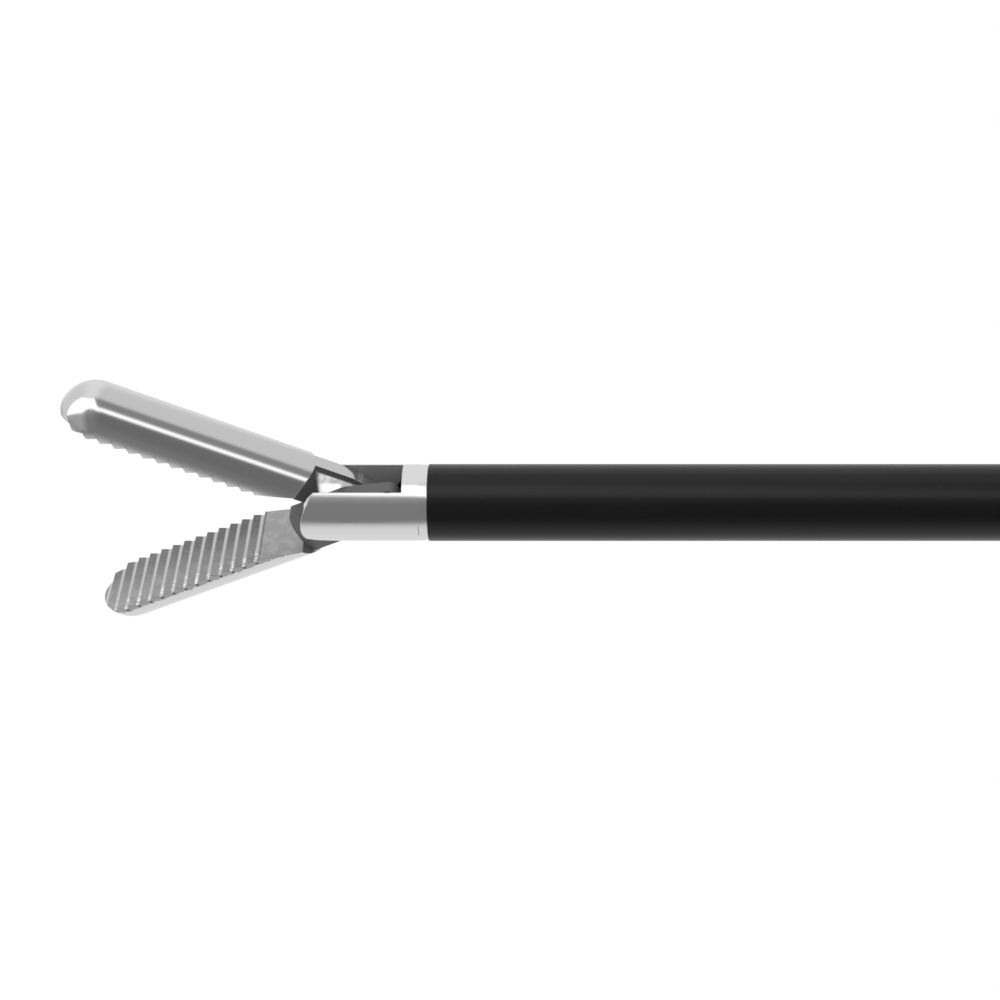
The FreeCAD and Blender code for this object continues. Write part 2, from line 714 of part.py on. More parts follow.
def make_knob():
    """The fluted wheel that the forefinger turns."""
    rear = f"({KNOB_X} + sizes.knob_length)"
    rim = "sizes.knob_diameter / 2"
    body = turned("rotation_knob", [
        (KNOB_X, LAP), (KNOB_X, "sizes.knob_nose / 2 - 0.8"),
        (f"{KNOB_X} + 0.8", "sizes.knob_nose / 2"),
        (f"{KNOB_X} + sizes.knob_length * 0.26", "sizes.knob_nose / 2 + 1.4"),
        (f"{KNOB_X} + sizes.knob_length * 0.44", rim),
        (f"{rear} - 1.8", rim), (rear, f"{rim} - 1.8"),
        (rear, "sizes.hub_diameter / 2"), (HUB_X, "sizes.hub_diameter / 2"), (HUB_X, LAP)])
    flute = new_sketch(body, "flute_profile", role="YZ_Plane", offset=knob_x + s.knob_length)
    bound_circle(flute, "0", "sizes.knob_diameter / 2 - sizes.flute_depth + sizes.flute_radius",
                 "sizes.flute_radius")
    flute_cut = cut(body, "flute", flute, "sizes.knob_length * 1.5")
    flutes = body.newObject("PartDesign::PolarPattern", "rotation_knob_flutes")
    flutes.Originals = [flute_cut]
    flutes.Axis = (plane_of(body, "X_Axis"), [""])
    flutes.Angle = 360
    flutes.setExpression("Occurrences", "sizes.flute_count")
    body.Tip = flutes
    doc.recompute()
    hole = new_sketch(body, "set_screw_profile", role="XY_Plane")
    bound_circle(hole, f"{KNOB_X} + sizes.knob_length * 0.74", "0", "sizes.set_screw_diameter / 2")
    cut(body, "set_screw_holes", hole, "2 * sizes.knob_diameter")
    return body


keep(make_knob())


def make_set_screws():
    """Two grub screws that clamp the knob on the hub, sunk below the flutes."""
    length = "sizes.knob_diameter / 2 - sizes.flute_depth - sizes.hub_diameter / 2 - 1"
    place = f"{KNOB_X} + sizes.knob_length * 0.74"
    upper = cylinder("set_screw_upper", "sizes.set_screw_diameter / 2", length,
                     (place, "0", "sizes.hub_diameter / 2"), "Z")
    lower = cylinder("set_screw_lower", "sizes.set_screw_diameter / 2", length,
                     (place, "0", f"-sizes.hub_diameter / 2 - ({length})"), "Z")
    pair = doc.addObject("Part::Compound", "knob_set_screws")
    pair.Label = "knob_set_screws"
    pair.Links = [upper, lower]
    return pair


keep(make_set_screws())

# Housing and fixed handle, in two shells that meet at the middle plane

SCREW_PLACES = [("-19.4", "7.7"), ("12.2", "6.6"), ("-14.2", "-14.2"), ("-12.6", "-45.4")]


def finger_ring_centre():
    return FreeCAD.Vector(lever_x - s.finger_ring_advance, -s.finger_ring_drop, 0)


def finger_ring_axis():
    tilt = math.radians(s.finger_ring_tilt)
    return FreeCAD.Vector(-math.sin(tilt), -math.cos(tilt), 0)


def handle_outline():
    """The fixed handle's side view: housing, leg and finger ring in one outline."""
    centre = finger_ring_centre()
    along = finger_ring_axis()
    half_length = s.finger_ring_length / 2 + s.ring_wall
    half_width = s.finger_ring_width / 2 + s.ring_wall
    corners = [(round(x, 1), round(z, 1), radius) for x, z, radius in ring_corners(
        centre, along, half_length, half_width, half_width - 1.5)]
    rear_top, rear_bottom, front_bottom, front_top = corners
    leg_front = lever_x - 17.6
    share = (leg_front - front_top[0]) / (rear_top[0] - front_top[0])
    throat_z = front_top[1] + share * (rear_top[1] - front_top[1])
    return [
        (housing_x, s.handle_top, 3.0),
        (lever_x + 15.5, s.handle_top, 9.0),
        (lever_x + 19.0, -7.0, 9.0),
        (lever_x + 14.0, -13.6, 3.5),
        (lever_x - 4.6, -15.4, 4.0),
        (lever_x - 7.0, -44.0, 30.0),
        rear_bottom,
        front_bottom,
        front_top,
        (leg_front, round(throat_z, 1), 6.0),
        (lever_x - 17.0, -22.0, 14.0),
        (housing_x, -12.5, 5.0),
    ]


def bore_profile():
    """Half profile of the stepped bore for the front bush, the hub's flange and its rear journal."""
    side = "sizes.journal_diameter / 2 + 2 * sizes.journal_clearance"
    groove = "sizes.flange_diameter / 2 + 4 * sizes.journal_clearance"
    return [
        (f"{HOUSING_X} - 1", "0"), (f"{HOUSING_X} - 1", "sizes.bush_diameter / 2"),
        (f"{FLANGE_X} - 0.2", "sizes.bush_diameter / 2"), (f"{FLANGE_X} - 0.2", groove),
        (f"{FLANGE_END} + 0.2", groove), (f"{FLANGE_END} + 0.2", side),
        (f"{HUB_END} + 0.5", side), (f"{HUB_END} + 0.5", "0")]


def make_shell(label, side):
    """One half of the fixed handle; side is 1 for the half at +Y and -1 for the half at -Y."""
    body = new_body(label)
    outline = new_sketch(body, "outline")
    draw(outline, rounded_outline(handle_outline()))
    outer = side * s.handle_width / 2
    plate = pad(body, "plate", outline, "sizes.handle_width / 2", side="One side", flip=side > 0)
    round_edges(body, "rounding", plate, lambda edge: lies_at(edge, outer), "sizes.edge_round")
    hole = new_sketch(body, "finger_hole_profile")
    half_width = s.finger_ring_width / 2
    draw(hole, rounded_outline(ring_corners(
        finger_ring_centre(), finger_ring_axis(), s.finger_ring_length / 2, half_width, half_width)))
    opened = cut(body, "finger_hole", hole, "2 * sizes.handle_width")
    centre = finger_ring_centre()
    round_edges(
        body, "hole_rounding", opened,
        lambda edge: lies_at(edge, outer) and within(
            edge, centre, finger_ring_axis(), s.finger_ring_length / 2, half_width),
        "sizes.edge_round")
    cavity = new_sketch(body, "cavity_profile")
    draw(cavity, rounded_outline([
        (lever_x - 9.0, 5.6, 1.0), (lever_x + 12.5, 5.6, 3.0), (lever_x + 15.4, -5.0, 3.0),
        (lever_x + 15.4, -24.0, 0), (lever_x - 4.2, -24.0, 0), (lever_x - 4.2, -13.0, 2.0),
        (lever_x - 9.0, -8.0, 2.0)]))
    cut(body, "cavity", cavity, "sizes.cavity_width")
    bore = new_sketch(body, "bore_profile")
    bound_polygon(bore, bore_profile())
    revolve(body, "bore", bore, remove=True)
    doc.recompute()
    pivot = new_sketch(body, "pivot_profile")
    bound_circle(pivot, LEVER_X, f"-{ARM}", "sizes.pivot_screw_diameter / 2")
    for x, z in SCREW_PLACES:
        bound_circle(pivot, f"{LEVER_X} + ({x})", z, "sizes.screw_diameter / 2")
    cut(body, "screw_holes", pivot, "sizes.handle_width + 2")
    heads = new_sketch(body, "head_profile", offset=-outer)
    bound_circle(heads, LEVER_X, f"-{ARM}", "sizes.pivot_head_diameter / 2")
    if side < 0:
        for x, z in SCREW_PLACES:
            bound_circle(heads, f"{LEVER_X} + ({x})", z, "sizes.screw_head_diameter / 2")
    cut(body, "head_recesses", heads, "2 * sizes.screw_head_depth")
    rack_slot = new_sketch(body, "rack_slot_profile")
    draw(rack_slot, rack_slot_outline())
    cut(body, "rack_slot", rack_slot, "sizes.rack_thickness + 2 * sizes.side_clearance")
    trigger_slot = new_sketch(body, "trigger_slot_profile")
    draw(trigger_slot, rounded_outline(trigger_slot_corners()))
    cut(body, "trigger_slot", trigger_slot, "sizes.trigger_thickness + 2 * sizes.side_clearance")
    trigger_pin = new_sketch(body, "trigger_pin_profile")
    bound_circle(trigger_pin, TRIGGER_X, TRIGGER_Z, "sizes.trigger_pin_diameter / 2")
    cut(body, "trigger_pin_hole", trigger_pin, "sizes.handle_width - 2")
    post = new_sketch(body, "post_profile", role="XY_Plane", offset=s.handle_top)
    bound_circle(post, POST_X, "0", "sizes.post_stem / 2")
    cut(body, "post_hole", post, "2 * (sizes.handle_top - sizes.wall_top + 0.2)")
    port = new_sketch(body, "port_profile", role="XY_Plane", offset=s.handle_top)
    bound_circle(port, PORT_X, "0", "sizes.port_bore / 2 + sizes.port_wall")
    cut(body, "port_hole", port, "2 * sizes.port_depth")
    spring = new_sketch(body, "spring_profile")
    draw(spring, rounded_outline(SPRING_SEAT))
    cut(body, "spring_seat", spring, "sizes.trigger_thickness")
    return body


# Places of the ratchet, the trigger, the post and the port, which the shells' holes follow

TRIGGER_X = f"({LEVER_X} - 14)"
TRIGGER_Z = "-23"
POST_X = f"({LEVER_X} + sizes.post_setback)"
PORT_X = f"({LEVER_X} - sizes.port_advance)"
RACK_FRONT = -20.5
RACK_REAR = 21.0
SPRING_SEAT = [(lever_x - 9.7, -17.6, 0), (lever_x - 9.4, -17.6, 0), (lever_x - 9.4, -19.6, 0),
               (lever_x - 9.7, -19.6, 0)]


def polar(centre, radius, angle_degrees):
    """A point about a centre; the angle is from straight down and rearward positive."""
    angle = math.radians(angle_degrees)
    return centre + FreeCAD.Vector(radius * math.sin(angle), -radius * math.cos(angle), 0)


def sector(centre, inner, outer, rear_angle, front_angle):
    """Edges of a curved strip about a centre."""
    middle = (rear_angle + front_angle) / 2
    corner = [polar(centre, outer, rear_angle), polar(centre, outer, front_angle),
              polar(centre, inner, front_angle), polar(centre, inner, rear_angle)]
    return [
        Part.Arc(corner[0], polar(centre, outer, middle), corner[1]),
        Part.LineSegment(corner[1], corner[2]),
        Part.Arc(corner[2], polar(centre, inner, middle), corner[3]),
        Part.LineSegment(corner[3], corner[0]),
    ]


def rack_slot_outline():
    """Room in the leg for the ratchet rack from open to closed, with clearance all round."""
    clear = s.side_clearance
    front = RACK_FRONT - s.lever_swing / 2 - 1.2
    return sector(FreeCAD.Vector(lever_x, lever_z, 0), s.rack_radius - s.rack_width / 2 - clear,
                  s.rack_radius + s.rack_width / 2 + clear, 0.0, front)


def trigger_slot_corners():
    """Room in the leg for the trigger's hub and pawl arm, open to the front and to the rear."""
    x = lever_x
    return [
        (x - 30.0, -24.0, 0), (x - 19.4, -18.2, 2.0), (x - 9.4, -18.2, 0.5), (x - 9.4, -27.0, 1.0),
        (x - 2.0, -30.0, 0), (x - 2.0, -39.2, 0), (x - 11.6, -39.2, 0.5), (x - 13.6, -33.0, 1.0),
        (x - 30.0, -33.0, 0)]


right_shell = make_shell("right_shell", 1)
left_shell = make_shell("left_shell", -1)
keep(right_shell, left_shell)


keep(turned("front_bush", [
    (f"{HOUSING_X} + 0.3", "sizes.journal_diameter / 2 + sizes.journal_clearance"),
    (f"{HOUSING_X} + 0.3", "sizes.bush_diameter / 2"),
    (f"{FLANGE_X} - 0.2", "sizes.bush_diameter / 2"),
    (f"{FLANGE_X} - 0.2", "sizes.journal_diameter / 2 + sizes.journal_clearance")]))


# Screws and pins across the handle

def hex_recess(label, width, depth, start):
    """A six-sided socket, cut into a head from its face inward along +Y."""
    recess = doc.addObject("Part::Prism", label)
    recess.Polygon = 6
    recess.setExpression("Circumradius", f"({width}) / 2")
    recess.setExpression("Height", depth)
    recess.Placement = FreeCAD.Placement(
        FreeCAD.Vector(0, 0, 0), FreeCAD.Rotation(FreeCAD.Vector(1, 0, 0), -90))
    for letter, formula in zip("xyz", start):
        recess.setExpression(f"Placement.Base.{letter}", formula)
    return recess


def cross_screw(label, x, z, shank, head, half_length, both_heads=False):
    """A socket screw along Y: shank, head at the -Y end and, for a through bolt, one at +Y too."""
    sunk = 0.25
    length = f"2 * ({half_length}) - {2 * sunk}"
    pieces = [cylinder(f"{label}_shank", f"({shank}) / 2", length,
                       (x, f"-({half_length}) + {sunk}", z), "Y"),
              cylinder(f"{label}_head", f"({head}) / 2", f"sizes.screw_head_depth - {sunk}",
                       (x, f"-({half_length}) + {sunk}", z), "Y")]
    if both_heads:
        pieces.append(cylinder(f"{label}_cap", f"({head}) / 2", f"sizes.screw_head_depth - {sunk}",
                               (x, f"({half_length}) - sizes.screw_head_depth", z), "Y"))
    body = doc.addObject("Part::MultiFuse", f"{label}_body")
    body.Shapes = pieces
    screw = doc.addObject("Part::Cut", label)
    screw.Label = label
    screw.Base = body
    screw.Tool = hex_recess(f"{label}_socket", f"({head}) * 0.55", "0.9",
                            (x, f"-({half_length}) + {sunk}", z))
    return screw


def make_shell_screws():
    screws = []
    for number, (x, z) in enumerate(SCREW_PLACES, start=1):
        screws.append(cross_screw(
            f"shell_screw_{number}", f"{LEVER_X} + ({x})", z, "sizes.screw_diameter",
            "sizes.screw_head_diameter", "sizes.handle_width / 2"))
    group = doc.addObject("Part::Compound", "shell_screws")
    group.Label = "shell_screws"
    group.Links = screws
    return group


keep(make_shell_screws())
keep(cross_screw("lever_pivot_bolt", LEVER_X, f"-{ARM}", "sizes.pivot_screw_diameter",
                 "sizes.pivot_head_diameter", "sizes.handle_width / 2", both_heads=True))
keep(cylinder("trigger_pin", "sizes.trigger_pin_diameter / 2", "sizes.handle_width - 2",
              (TRIGGER_X, "-(sizes.handle_width - 2) / 2", TRIGGER_Z), "Y"))


# Post and port on the handle's top, turned about upright axes

def upright(label, place, corners):
    """A body turned about an upright line, from bound corners (radius, height) in its own frame."""
    body = new_body(label)
    sketch = new_sketch(body, "profile")
    bound_polygon(sketch, corners)
    revolve(body, "turned", sketch, axis="V_Axis")
    body.Placement = FreeCAD.Placement(FreeCAD.Vector(value(place), 0, 0), FreeCAD.Rotation())
    body.setExpression("Placement.Base.x", place)
    return body


POST_TOP = "(sizes.handle_top + sizes.post_height)"
PORT_TOP = "(sizes.handle_top + sizes.port_height)"

INSULATOR_TOP = "(sizes.handle_top + sizes.insulator_height)"

keep(upright("electrode_post", POST_X, [
    ("0", "sizes.wall_top"), ("sizes.post_stem / 2", "sizes.wall_top"),
    ("sizes.post_stem / 2", INSULATOR_TOP), ("sizes.post_diameter / 2", INSULATOR_TOP),
    ("sizes.post_diameter / 2", f"{POST_TOP} - 0.5"),
    ("sizes.post_diameter / 2 - 0.5", POST_TOP), ("0", POST_TOP)]))

keep(upright("post_insulator", POST_X, [
    ("sizes.post_stem / 2", "sizes.handle_top"),
    ("sizes.insulator_diameter / 2", "sizes.handle_top"),
    ("sizes.insulator_diameter / 2", f"{INSULATOR_TOP} - 1"),
    ("sizes.insulator_diameter / 2 - 0.7", INSULATOR_TOP),
    ("sizes.post_stem / 2", INSULATOR_TOP)]))

keep(upright("flush_port", PORT_X, [
    ("sizes.port_bore / 2", "sizes.handle_top - sizes.wall_top"),
    ("sizes.port_bore / 2 + sizes.port_wall", "sizes.handle_top - sizes.wall_top"),
    ("sizes.port_bore / 2 + sizes.port_wall", "sizes.handle_top"),
    ("sizes.port_bore / 2 + 1.4", "sizes.handle_top"),
    ("sizes.port_bore / 2 + 1.4", "sizes.handle_top + 1.2"),
    ("sizes.port_bore / 2 + 0.8", "sizes.handle_top + 1.8"),
    ("sizes.port_bore / 2 + 0.8", f"{PORT_TOP} - 1.6"),
    ("sizes.port_bore / 2 + 1.7", f"{PORT_TOP} - 1.2"),
    ("sizes.port_bore / 2 + 1.7", PORT_TOP), ("sizes.port_bore / 2", PORT_TOP)]))


def plate_body(label, edges, thickness, round_name=None, radius=None):
    """A flat body of one thickness, centred on the middle plane, from the edges of its side view."""
    body = new_body(label)
    sketch = new_sketch(body, "outline")
    draw(sketch, edges)
    plate = pad(body, "plate", sketch, thickness)
    doc.recompute()
    if round_name:
        rim = body.Shape.BoundBox.YMax
        round_edges(body, round_name, plate,
                    lambda edge: lies_at(edge, rim) or lies_at(edge, -rim), radius)
    return body


def make_contact_spring():
    """The leaf that takes the current from the post's stem to the turning hub."""
    x = lever_x
    top = s.wall_top
    thick = s.leaf_thickness
    return plate_body("contact_spring", rounded_outline([
        (x + 7.0, top, 0), (x - 4.6, top, 1.5), (x - 8.2, 4.15 + 0.1, 0), (x - 8.3, 3.86 + 0.1, 0),
        (x - 4.6, top - thick, 1.2), (x + 7.0, top - thick, 0)]), "sizes.leaf_width")


keep(make_contact_spring())


def make_trigger_spring():
    """A leaf drawn flat on the slot's rear wall, as it lies while the trigger is pulled."""
    x = lever_x
    return plate_body("trigger_spring", rounded_outline([
        (x - 9.7, -17.6, 0), (x - 9.4, -17.6, 0), (x - 9.4, -24.8, 0), (x - 9.7, -24.8, 0)]),
        "sizes.trigger_thickness - 1")


keep(make_trigger_spring())


# Thumb lever, drawn with its fork upright about its own pivot, then swung to rest

def on_lever(piece):
    """Places a piece that was drawn about the lever's pivot in mid-swing where it is at rest."""
    piece.Placement = FreeCAD.Placement(
        FreeCAD.Vector(lever_x, 0, lever_z),
        FreeCAD.Rotation(FreeCAD.Vector(0, 1, 0), -s.lever_swing / 2))
    piece.setExpression("Placement.Base.x", LEVER_X)
    piece.setExpression("Placement.Base.z", f"-{ARM}")
    return piece


def make_thumb_lever():
    body = new_body("thumb_lever")
    angle = math.radians(s.thumb_angle - s.lever_swing / 2)
    along = FreeCAD.Vector(math.sin(angle), -math.cos(angle), 0)
    rear = FreeCAD.Vector(math.cos(angle), math.sin(angle), 0)
    half = s.lever_width / 2
    # Thumb ring
    centre = along * s.thumb_reach
    ring = new_sketch(body, "ring_outline")
    half_length = s.thumb_ring_length / 2 + s.thumb_ring_wall
    half_width = s.thumb_ring_width / 2 + s.thumb_ring_wall
    draw(ring, rounded_outline(ring_corners(centre, along, half_length, half_width, half_width)))
    disc = pad(body, "ring", ring, "sizes.thumb_ring_thickness")
    rim = s.thumb_ring_thickness / 2
    disc = round_edges(body, "ring_rounding", disc,
                       lambda edge: lies_at(edge, rim) or lies_at(edge, -rim), "sizes.edge_round")
    hole = new_sketch(body, "thumb_hole_profile")
    half_width = s.thumb_ring_width / 2
    draw(hole, rounded_outline(ring_corners(
        centre, along, s.thumb_ring_length / 2, half_width, half_width)))
    opened = cut(body, "thumb_hole", hole, "2 * sizes.thumb_ring_thickness")
    round_edges(body, "hole_rounding", opened,
                lambda edge: (lies_at(edge, rim) or lies_at(edge, -rim)) and within(
                    edge, centre, along, s.thumb_ring_length / 2, half_width),
                "sizes.edge_round")
    # Arm from the hub to the ring
    reach = s.thumb_reach - s.thumb_ring_length / 2 - 2.0
    arm_sketch = new_sketch(body, "arm_outline")
    corners = []
    for length, side, radius in ((0.0, 1.0, 0), (26.0, 1.2, 60.0), (reach, 1.0, 0),
                                 (reach, -1.0, 0), (26.0, -0.8, 60.0), (0.0, -1.0, 0)):
        point = along * length + rear * (side * half)
        corners.append((point.x, point.y, radius))
    draw(arm_sketch, rounded_outline(corners))
    pad(body, "arm", arm_sketch, "sizes.lever_thickness")
    # Hub and the fork that holds the rod's ball
    hub = new_sketch(body, "hub_outline")
    bound_circle(hub, "0", "0", "sizes.lever_hub_diameter / 2")
    pad(body, "hub", hub, "sizes.lever_thickness")
    fork = new_sketch(body, "fork_outline")
    wide = s.fork_width / 2
    draw(fork, rounded_outline([
        (-wide, 0, 0), (-wide, s.fork_rise, 1.0), (wide, s.fork_rise, 1.0), (wide, 0, 0)]))
    pad(body, "fork", fork, "sizes.lever_thickness")
    doc.recompute()
    pivot = new_sketch(body, "pivot_profile")
    bound_circle(pivot, "0", "0", "sizes.lever_bush_diameter / 2")
    cut(body, "pivot_hole", pivot, "2 * sizes.lever_thickness")
    pocket = new_sketch(body, "ball_pocket_profile")
    floor = f"{ARM} - sizes.ball_diameter / 2 - 0.2"
    side = "sizes.ball_diameter / 2 + sizes.ball_play"
    bound_polygon(pocket, [
        (f"-({side})", floor), (side, floor), (side, "sizes.fork_rise + 1"),
        (f"-({side})", "sizes.fork_rise + 1")])
    cut(body, "ball_pocket", pocket, "sizes.ball_diameter + 0.2")
    front = new_sketch(body, "neck_slot_profile")
    bound_polygon(front, [
        ("-sizes.fork_width", floor), ("0", floor), ("0", "sizes.fork_rise + 1"),
        ("-sizes.fork_width", "sizes.fork_rise + 1")])
    cut(body, "neck_slot", front, "sizes.ball_neck + 0.3")
    # Slot and holes for the ratchet rack's tail
    seat = new_sketch(body, "rack_seat_profile")
    inner = s.rack_radius - s.rack_width / 2
    origin = FreeCAD.Vector(0, 0, 0)
    draw(seat, sector(origin, inner, inner + s.rack_width, RACK_REAR, 5.0))
    cut(body, "rack_seat", seat, "sizes.rack_thickness")
    holes = new_sketch(body, "rivet_profile")
    for angle in RIVET_ANGLES:
        place = polar(origin, s.rack_radius, angle)
        bound_circle(holes, str(place.x), str(place.y), RIVET_RADIUS)
    cut(body, "rivet_holes", holes, "2 * sizes.lever_thickness")
    return on_lever(body)


RIVET_ANGLES = (16.4, 19.9)
RIVET_RADIUS = "0.7"

keep(make_thumb_lever())


def make_lever_bush():
    body = new_body("lever_bush")
    sketch = new_sketch(body, "profile")
    bound_circle(sketch, "0", "0", "sizes.lever_bush_diameter / 2")
    bound_circle(sketch, "0", "0",
                 "sizes.pivot_screw_diameter / 2 + 2 * sizes.running_clearance")
    pad(body, "tube", sketch, "sizes.lever_thickness")
    return on_lever(body)


keep(make_lever_bush())


def make_ratchet_rack():
    """A curved strip about the lever's pivot, saw-toothed on its inner side near the front end."""
    origin = FreeCAD.Vector(0, 0, 0)
    inner = s.rack_radius - s.rack_width / 2
    outer = s.rack_radius + s.rack_width / 2
    points = []
    for number in range(int(s.rack_tooth_count)):
        root = RACK_FRONT + 1.4 + number * s.rack_tooth_angle
        points.append(polar(origin, inner, root))
        points.append(polar(origin, inner + s.rack_tooth_depth, root))
    last = RACK_FRONT + 1.4 + s.rack_tooth_count * s.rack_tooth_angle
    points.append(polar(origin, inner, last))
    start = polar(origin, inner, RACK_FRONT)
    points.insert(0, start)
    edges = [Part.LineSegment(a, b) for a, b in zip(points, points[1:])]
    edges.append(Part.Arc(points[-1], polar(origin, inner, (last + RACK_REAR) / 2),
                          polar(origin, inner, RACK_REAR)))
    edges.append(Part.LineSegment(polar(origin, inner, RACK_REAR),
                                  polar(origin, outer, RACK_REAR)))
    edges.append(Part.Arc(polar(origin, outer, RACK_REAR),
                          polar(origin, outer, (RACK_REAR + RACK_FRONT) / 2),
                          polar(origin, outer, RACK_FRONT)))
    edges.append(Part.LineSegment(polar(origin, outer, RACK_FRONT), start))
    body = plate_body("ratchet_rack", edges, "sizes.rack_thickness")
    holes = new_sketch(body, "rivet_profile")
    for angle in RIVET_ANGLES:
        place = polar(origin, s.rack_radius, angle)
        bound_circle(holes, str(place.x), str(place.y), RIVET_RADIUS)
    cut(body, "rivet_holes", holes, "2 * sizes.rack_thickness")
    return on_lever(body)


keep(make_ratchet_rack())


def make_rack_rivets():
    """Two rivets through the lever and the rack's tail, with low heads on both sides."""
    body = new_body("rack_rivets")
    origin = FreeCAD.Vector(0, 0, 0)
    sketch = new_sketch(body, "profile")
    for angle in RIVET_ANGLES:
        place = polar(origin, s.rack_radius, angle)
        bound_circle(sketch, str(place.x), str(place.y), RIVET_RADIUS)
    pad(body, "rivets", sketch, "sizes.lever_thickness + 0.4")
    return on_lever(body)


keep(make_rack_rivets())


def make_release_trigger():
    """The finger trigger whose rear arm is the ratchet's pawl."""
    x = lever_x
    tip = s.rack_radius - s.rack_width / 2 - s.pawl_clearance
    centre = FreeCAD.Vector(lever_x, lever_z, 0)
    heel = polar(centre, tip, -15.0)
    toe = polar(centre, tip, -18.6)
    body = plate_body("release_trigger", rounded_outline([
        (x - 17.2, -20.4, 2.4), (x - 14.0, -18.9, 2.6), (x - 10.9, -20.6, 2.4),
        (x - 10.4, -27.0, 3.0), (heel.x + 0.5, heel.y + 3.2, 1.0), (heel.x, heel.y, 0.2),
        (toe.x, toe.y, 0.2), (x - 12.4, -29.0, 2.0), (x - 15.6, -26.2, 2.0),
        (x - 24.6, -35.0, 0.8), (x - 27.4, -33.6, 1.4), (x - 21.0, -25.4, 6.0)]),
        "sizes.trigger_thickness")
    hole = new_sketch(body, "pin_hole_profile")
    bound_circle(hole, TRIGGER_X, TRIGGER_Z,
                 "sizes.trigger_pin_diameter / 2 + 2 * sizes.running_clearance")
    cut(body, "pin_hole", hole, "2 * sizes.trigger_thickness")
    return body


keep(make_release_trigger())


def check_and_export():
    """Recomputes, stops at any failed object or bad shape, and writes one STEP file for each piece."""
    doc.recompute()
    for item in doc.Objects:
        if "Invalid" in item.State or "Error" in item.State:
            raise RuntimeError(f"{item.Name} failed: {item.State}")
    os.makedirs("parts", exist_ok=True)
    for piece in parts:
        shape = piece.Shape
        if shape.isNull() or not shape.isValid() or not shape.Solids:
            raise RuntimeError(f"{piece.Label} has no valid solid")
        shape.exportStep(f"parts/{piece.Label}.step")
        box = shape.BoundBox
        print(f"{piece.Label}: {len(shape.Solids)} solid, {shape.Volume:.2f} mm3, "
              f"x {box.XMin:.2f}..{box.XMax:.2f} y {box.YMin:.2f}..{box.YMax:.2f} "
              f"z {box.ZMin:.2f}..{box.ZMax:.2f}")


check_and_export()
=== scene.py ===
# %% [markdown]
# # A laparoscopic grasper, finished in Blender
#
# The engineering model gives every piece its exact shape and place. This notebook gives the pieces
# their finishes and the soft, rounded forms of moulded plastic, and lights them as a studio would.
# Read it from the top: each cell says what a piece is on the real instrument and how it is made.

# %% Load the engineering model
import json
import math
import bmesh
import bpy
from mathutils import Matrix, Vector


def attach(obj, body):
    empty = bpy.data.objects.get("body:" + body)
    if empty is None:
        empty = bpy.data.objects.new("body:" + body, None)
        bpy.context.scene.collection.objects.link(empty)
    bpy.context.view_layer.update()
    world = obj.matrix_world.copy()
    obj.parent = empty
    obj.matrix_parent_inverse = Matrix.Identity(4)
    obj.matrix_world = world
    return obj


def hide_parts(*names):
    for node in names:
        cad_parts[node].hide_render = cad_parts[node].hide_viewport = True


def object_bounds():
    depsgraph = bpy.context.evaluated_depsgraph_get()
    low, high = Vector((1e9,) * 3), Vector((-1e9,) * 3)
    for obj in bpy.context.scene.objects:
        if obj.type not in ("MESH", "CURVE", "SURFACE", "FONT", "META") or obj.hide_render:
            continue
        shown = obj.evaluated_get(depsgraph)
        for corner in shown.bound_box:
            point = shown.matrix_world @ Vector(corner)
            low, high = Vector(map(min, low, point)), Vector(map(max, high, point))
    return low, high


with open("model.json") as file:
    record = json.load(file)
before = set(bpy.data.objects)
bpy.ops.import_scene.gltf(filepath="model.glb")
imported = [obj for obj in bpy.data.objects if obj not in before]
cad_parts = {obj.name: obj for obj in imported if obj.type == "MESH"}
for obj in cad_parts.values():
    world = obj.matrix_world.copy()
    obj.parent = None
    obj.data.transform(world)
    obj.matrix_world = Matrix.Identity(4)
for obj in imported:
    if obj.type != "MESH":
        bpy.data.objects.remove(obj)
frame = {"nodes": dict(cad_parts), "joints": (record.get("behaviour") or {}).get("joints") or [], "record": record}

cad_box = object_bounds()
print("CAD box in metres:", cad_box)

# %% [markdown]
# ## Camera
#
# The picture looks down on the jaws from 43.5 degrees, from very near: the jaw that rises towards
# the lens looks longer than the one that falls away. A long lens from far off would lose that, so
# the camera stands 130 mm from the shaft. The frame's centre is a little left of the lens's own
# axis, which is what the small shift does.

# %% Camera
MM = 0.001
ELEVATION = math.radians(43.5)
DISTANCE = 130.0 * MM
AIM = Vector((9.12 * MM, 0.0, 0.0))
SENSOR_WIDTH = 36.0
FOCAL_LENGTH = 72.07
SHIFT_X, SHIFT_Y = -0.070, 0.0025

camera_data = bpy.data.cameras.new("camera")
camera_data.sensor_width = SENSOR_WIDTH
camera_data.lens = FOCAL_LENGTH
camera_data.shift_x = SHIFT_X
camera_data.shift_y = SHIFT_Y
camera_data.clip_start = 1.0 * MM
camera_data.clip_end = 20.0
camera = bpy.data.objects.new("camera", camera_data)
camera.location = AIM + Vector((0.0, -math.cos(ELEVATION), math.sin(ELEVATION))) * DISTANCE
camera.rotation_euler = (math.pi / 2 - ELEVATION, 0.0, 0.0)
bpy.context.scene.collection.objects.link(camera)
bpy.context.scene.camera = camera
bpy.context.scene.view_settings.view_transform = "Standard"
print("camera at", [round(c, 4) for c in camera.location])

# %% [markdown]
# ## Writing shader maths as Python
#
# A material is a graph of nodes, and a graph is slow to read. The small class below holds one
# socket and overloads + - * and /, so a mask can be written as a formula, and each operator adds
# its own Math node. Any other node comes from `add_node`, which takes the node's type, its
# settings and the values or links of its sockets.


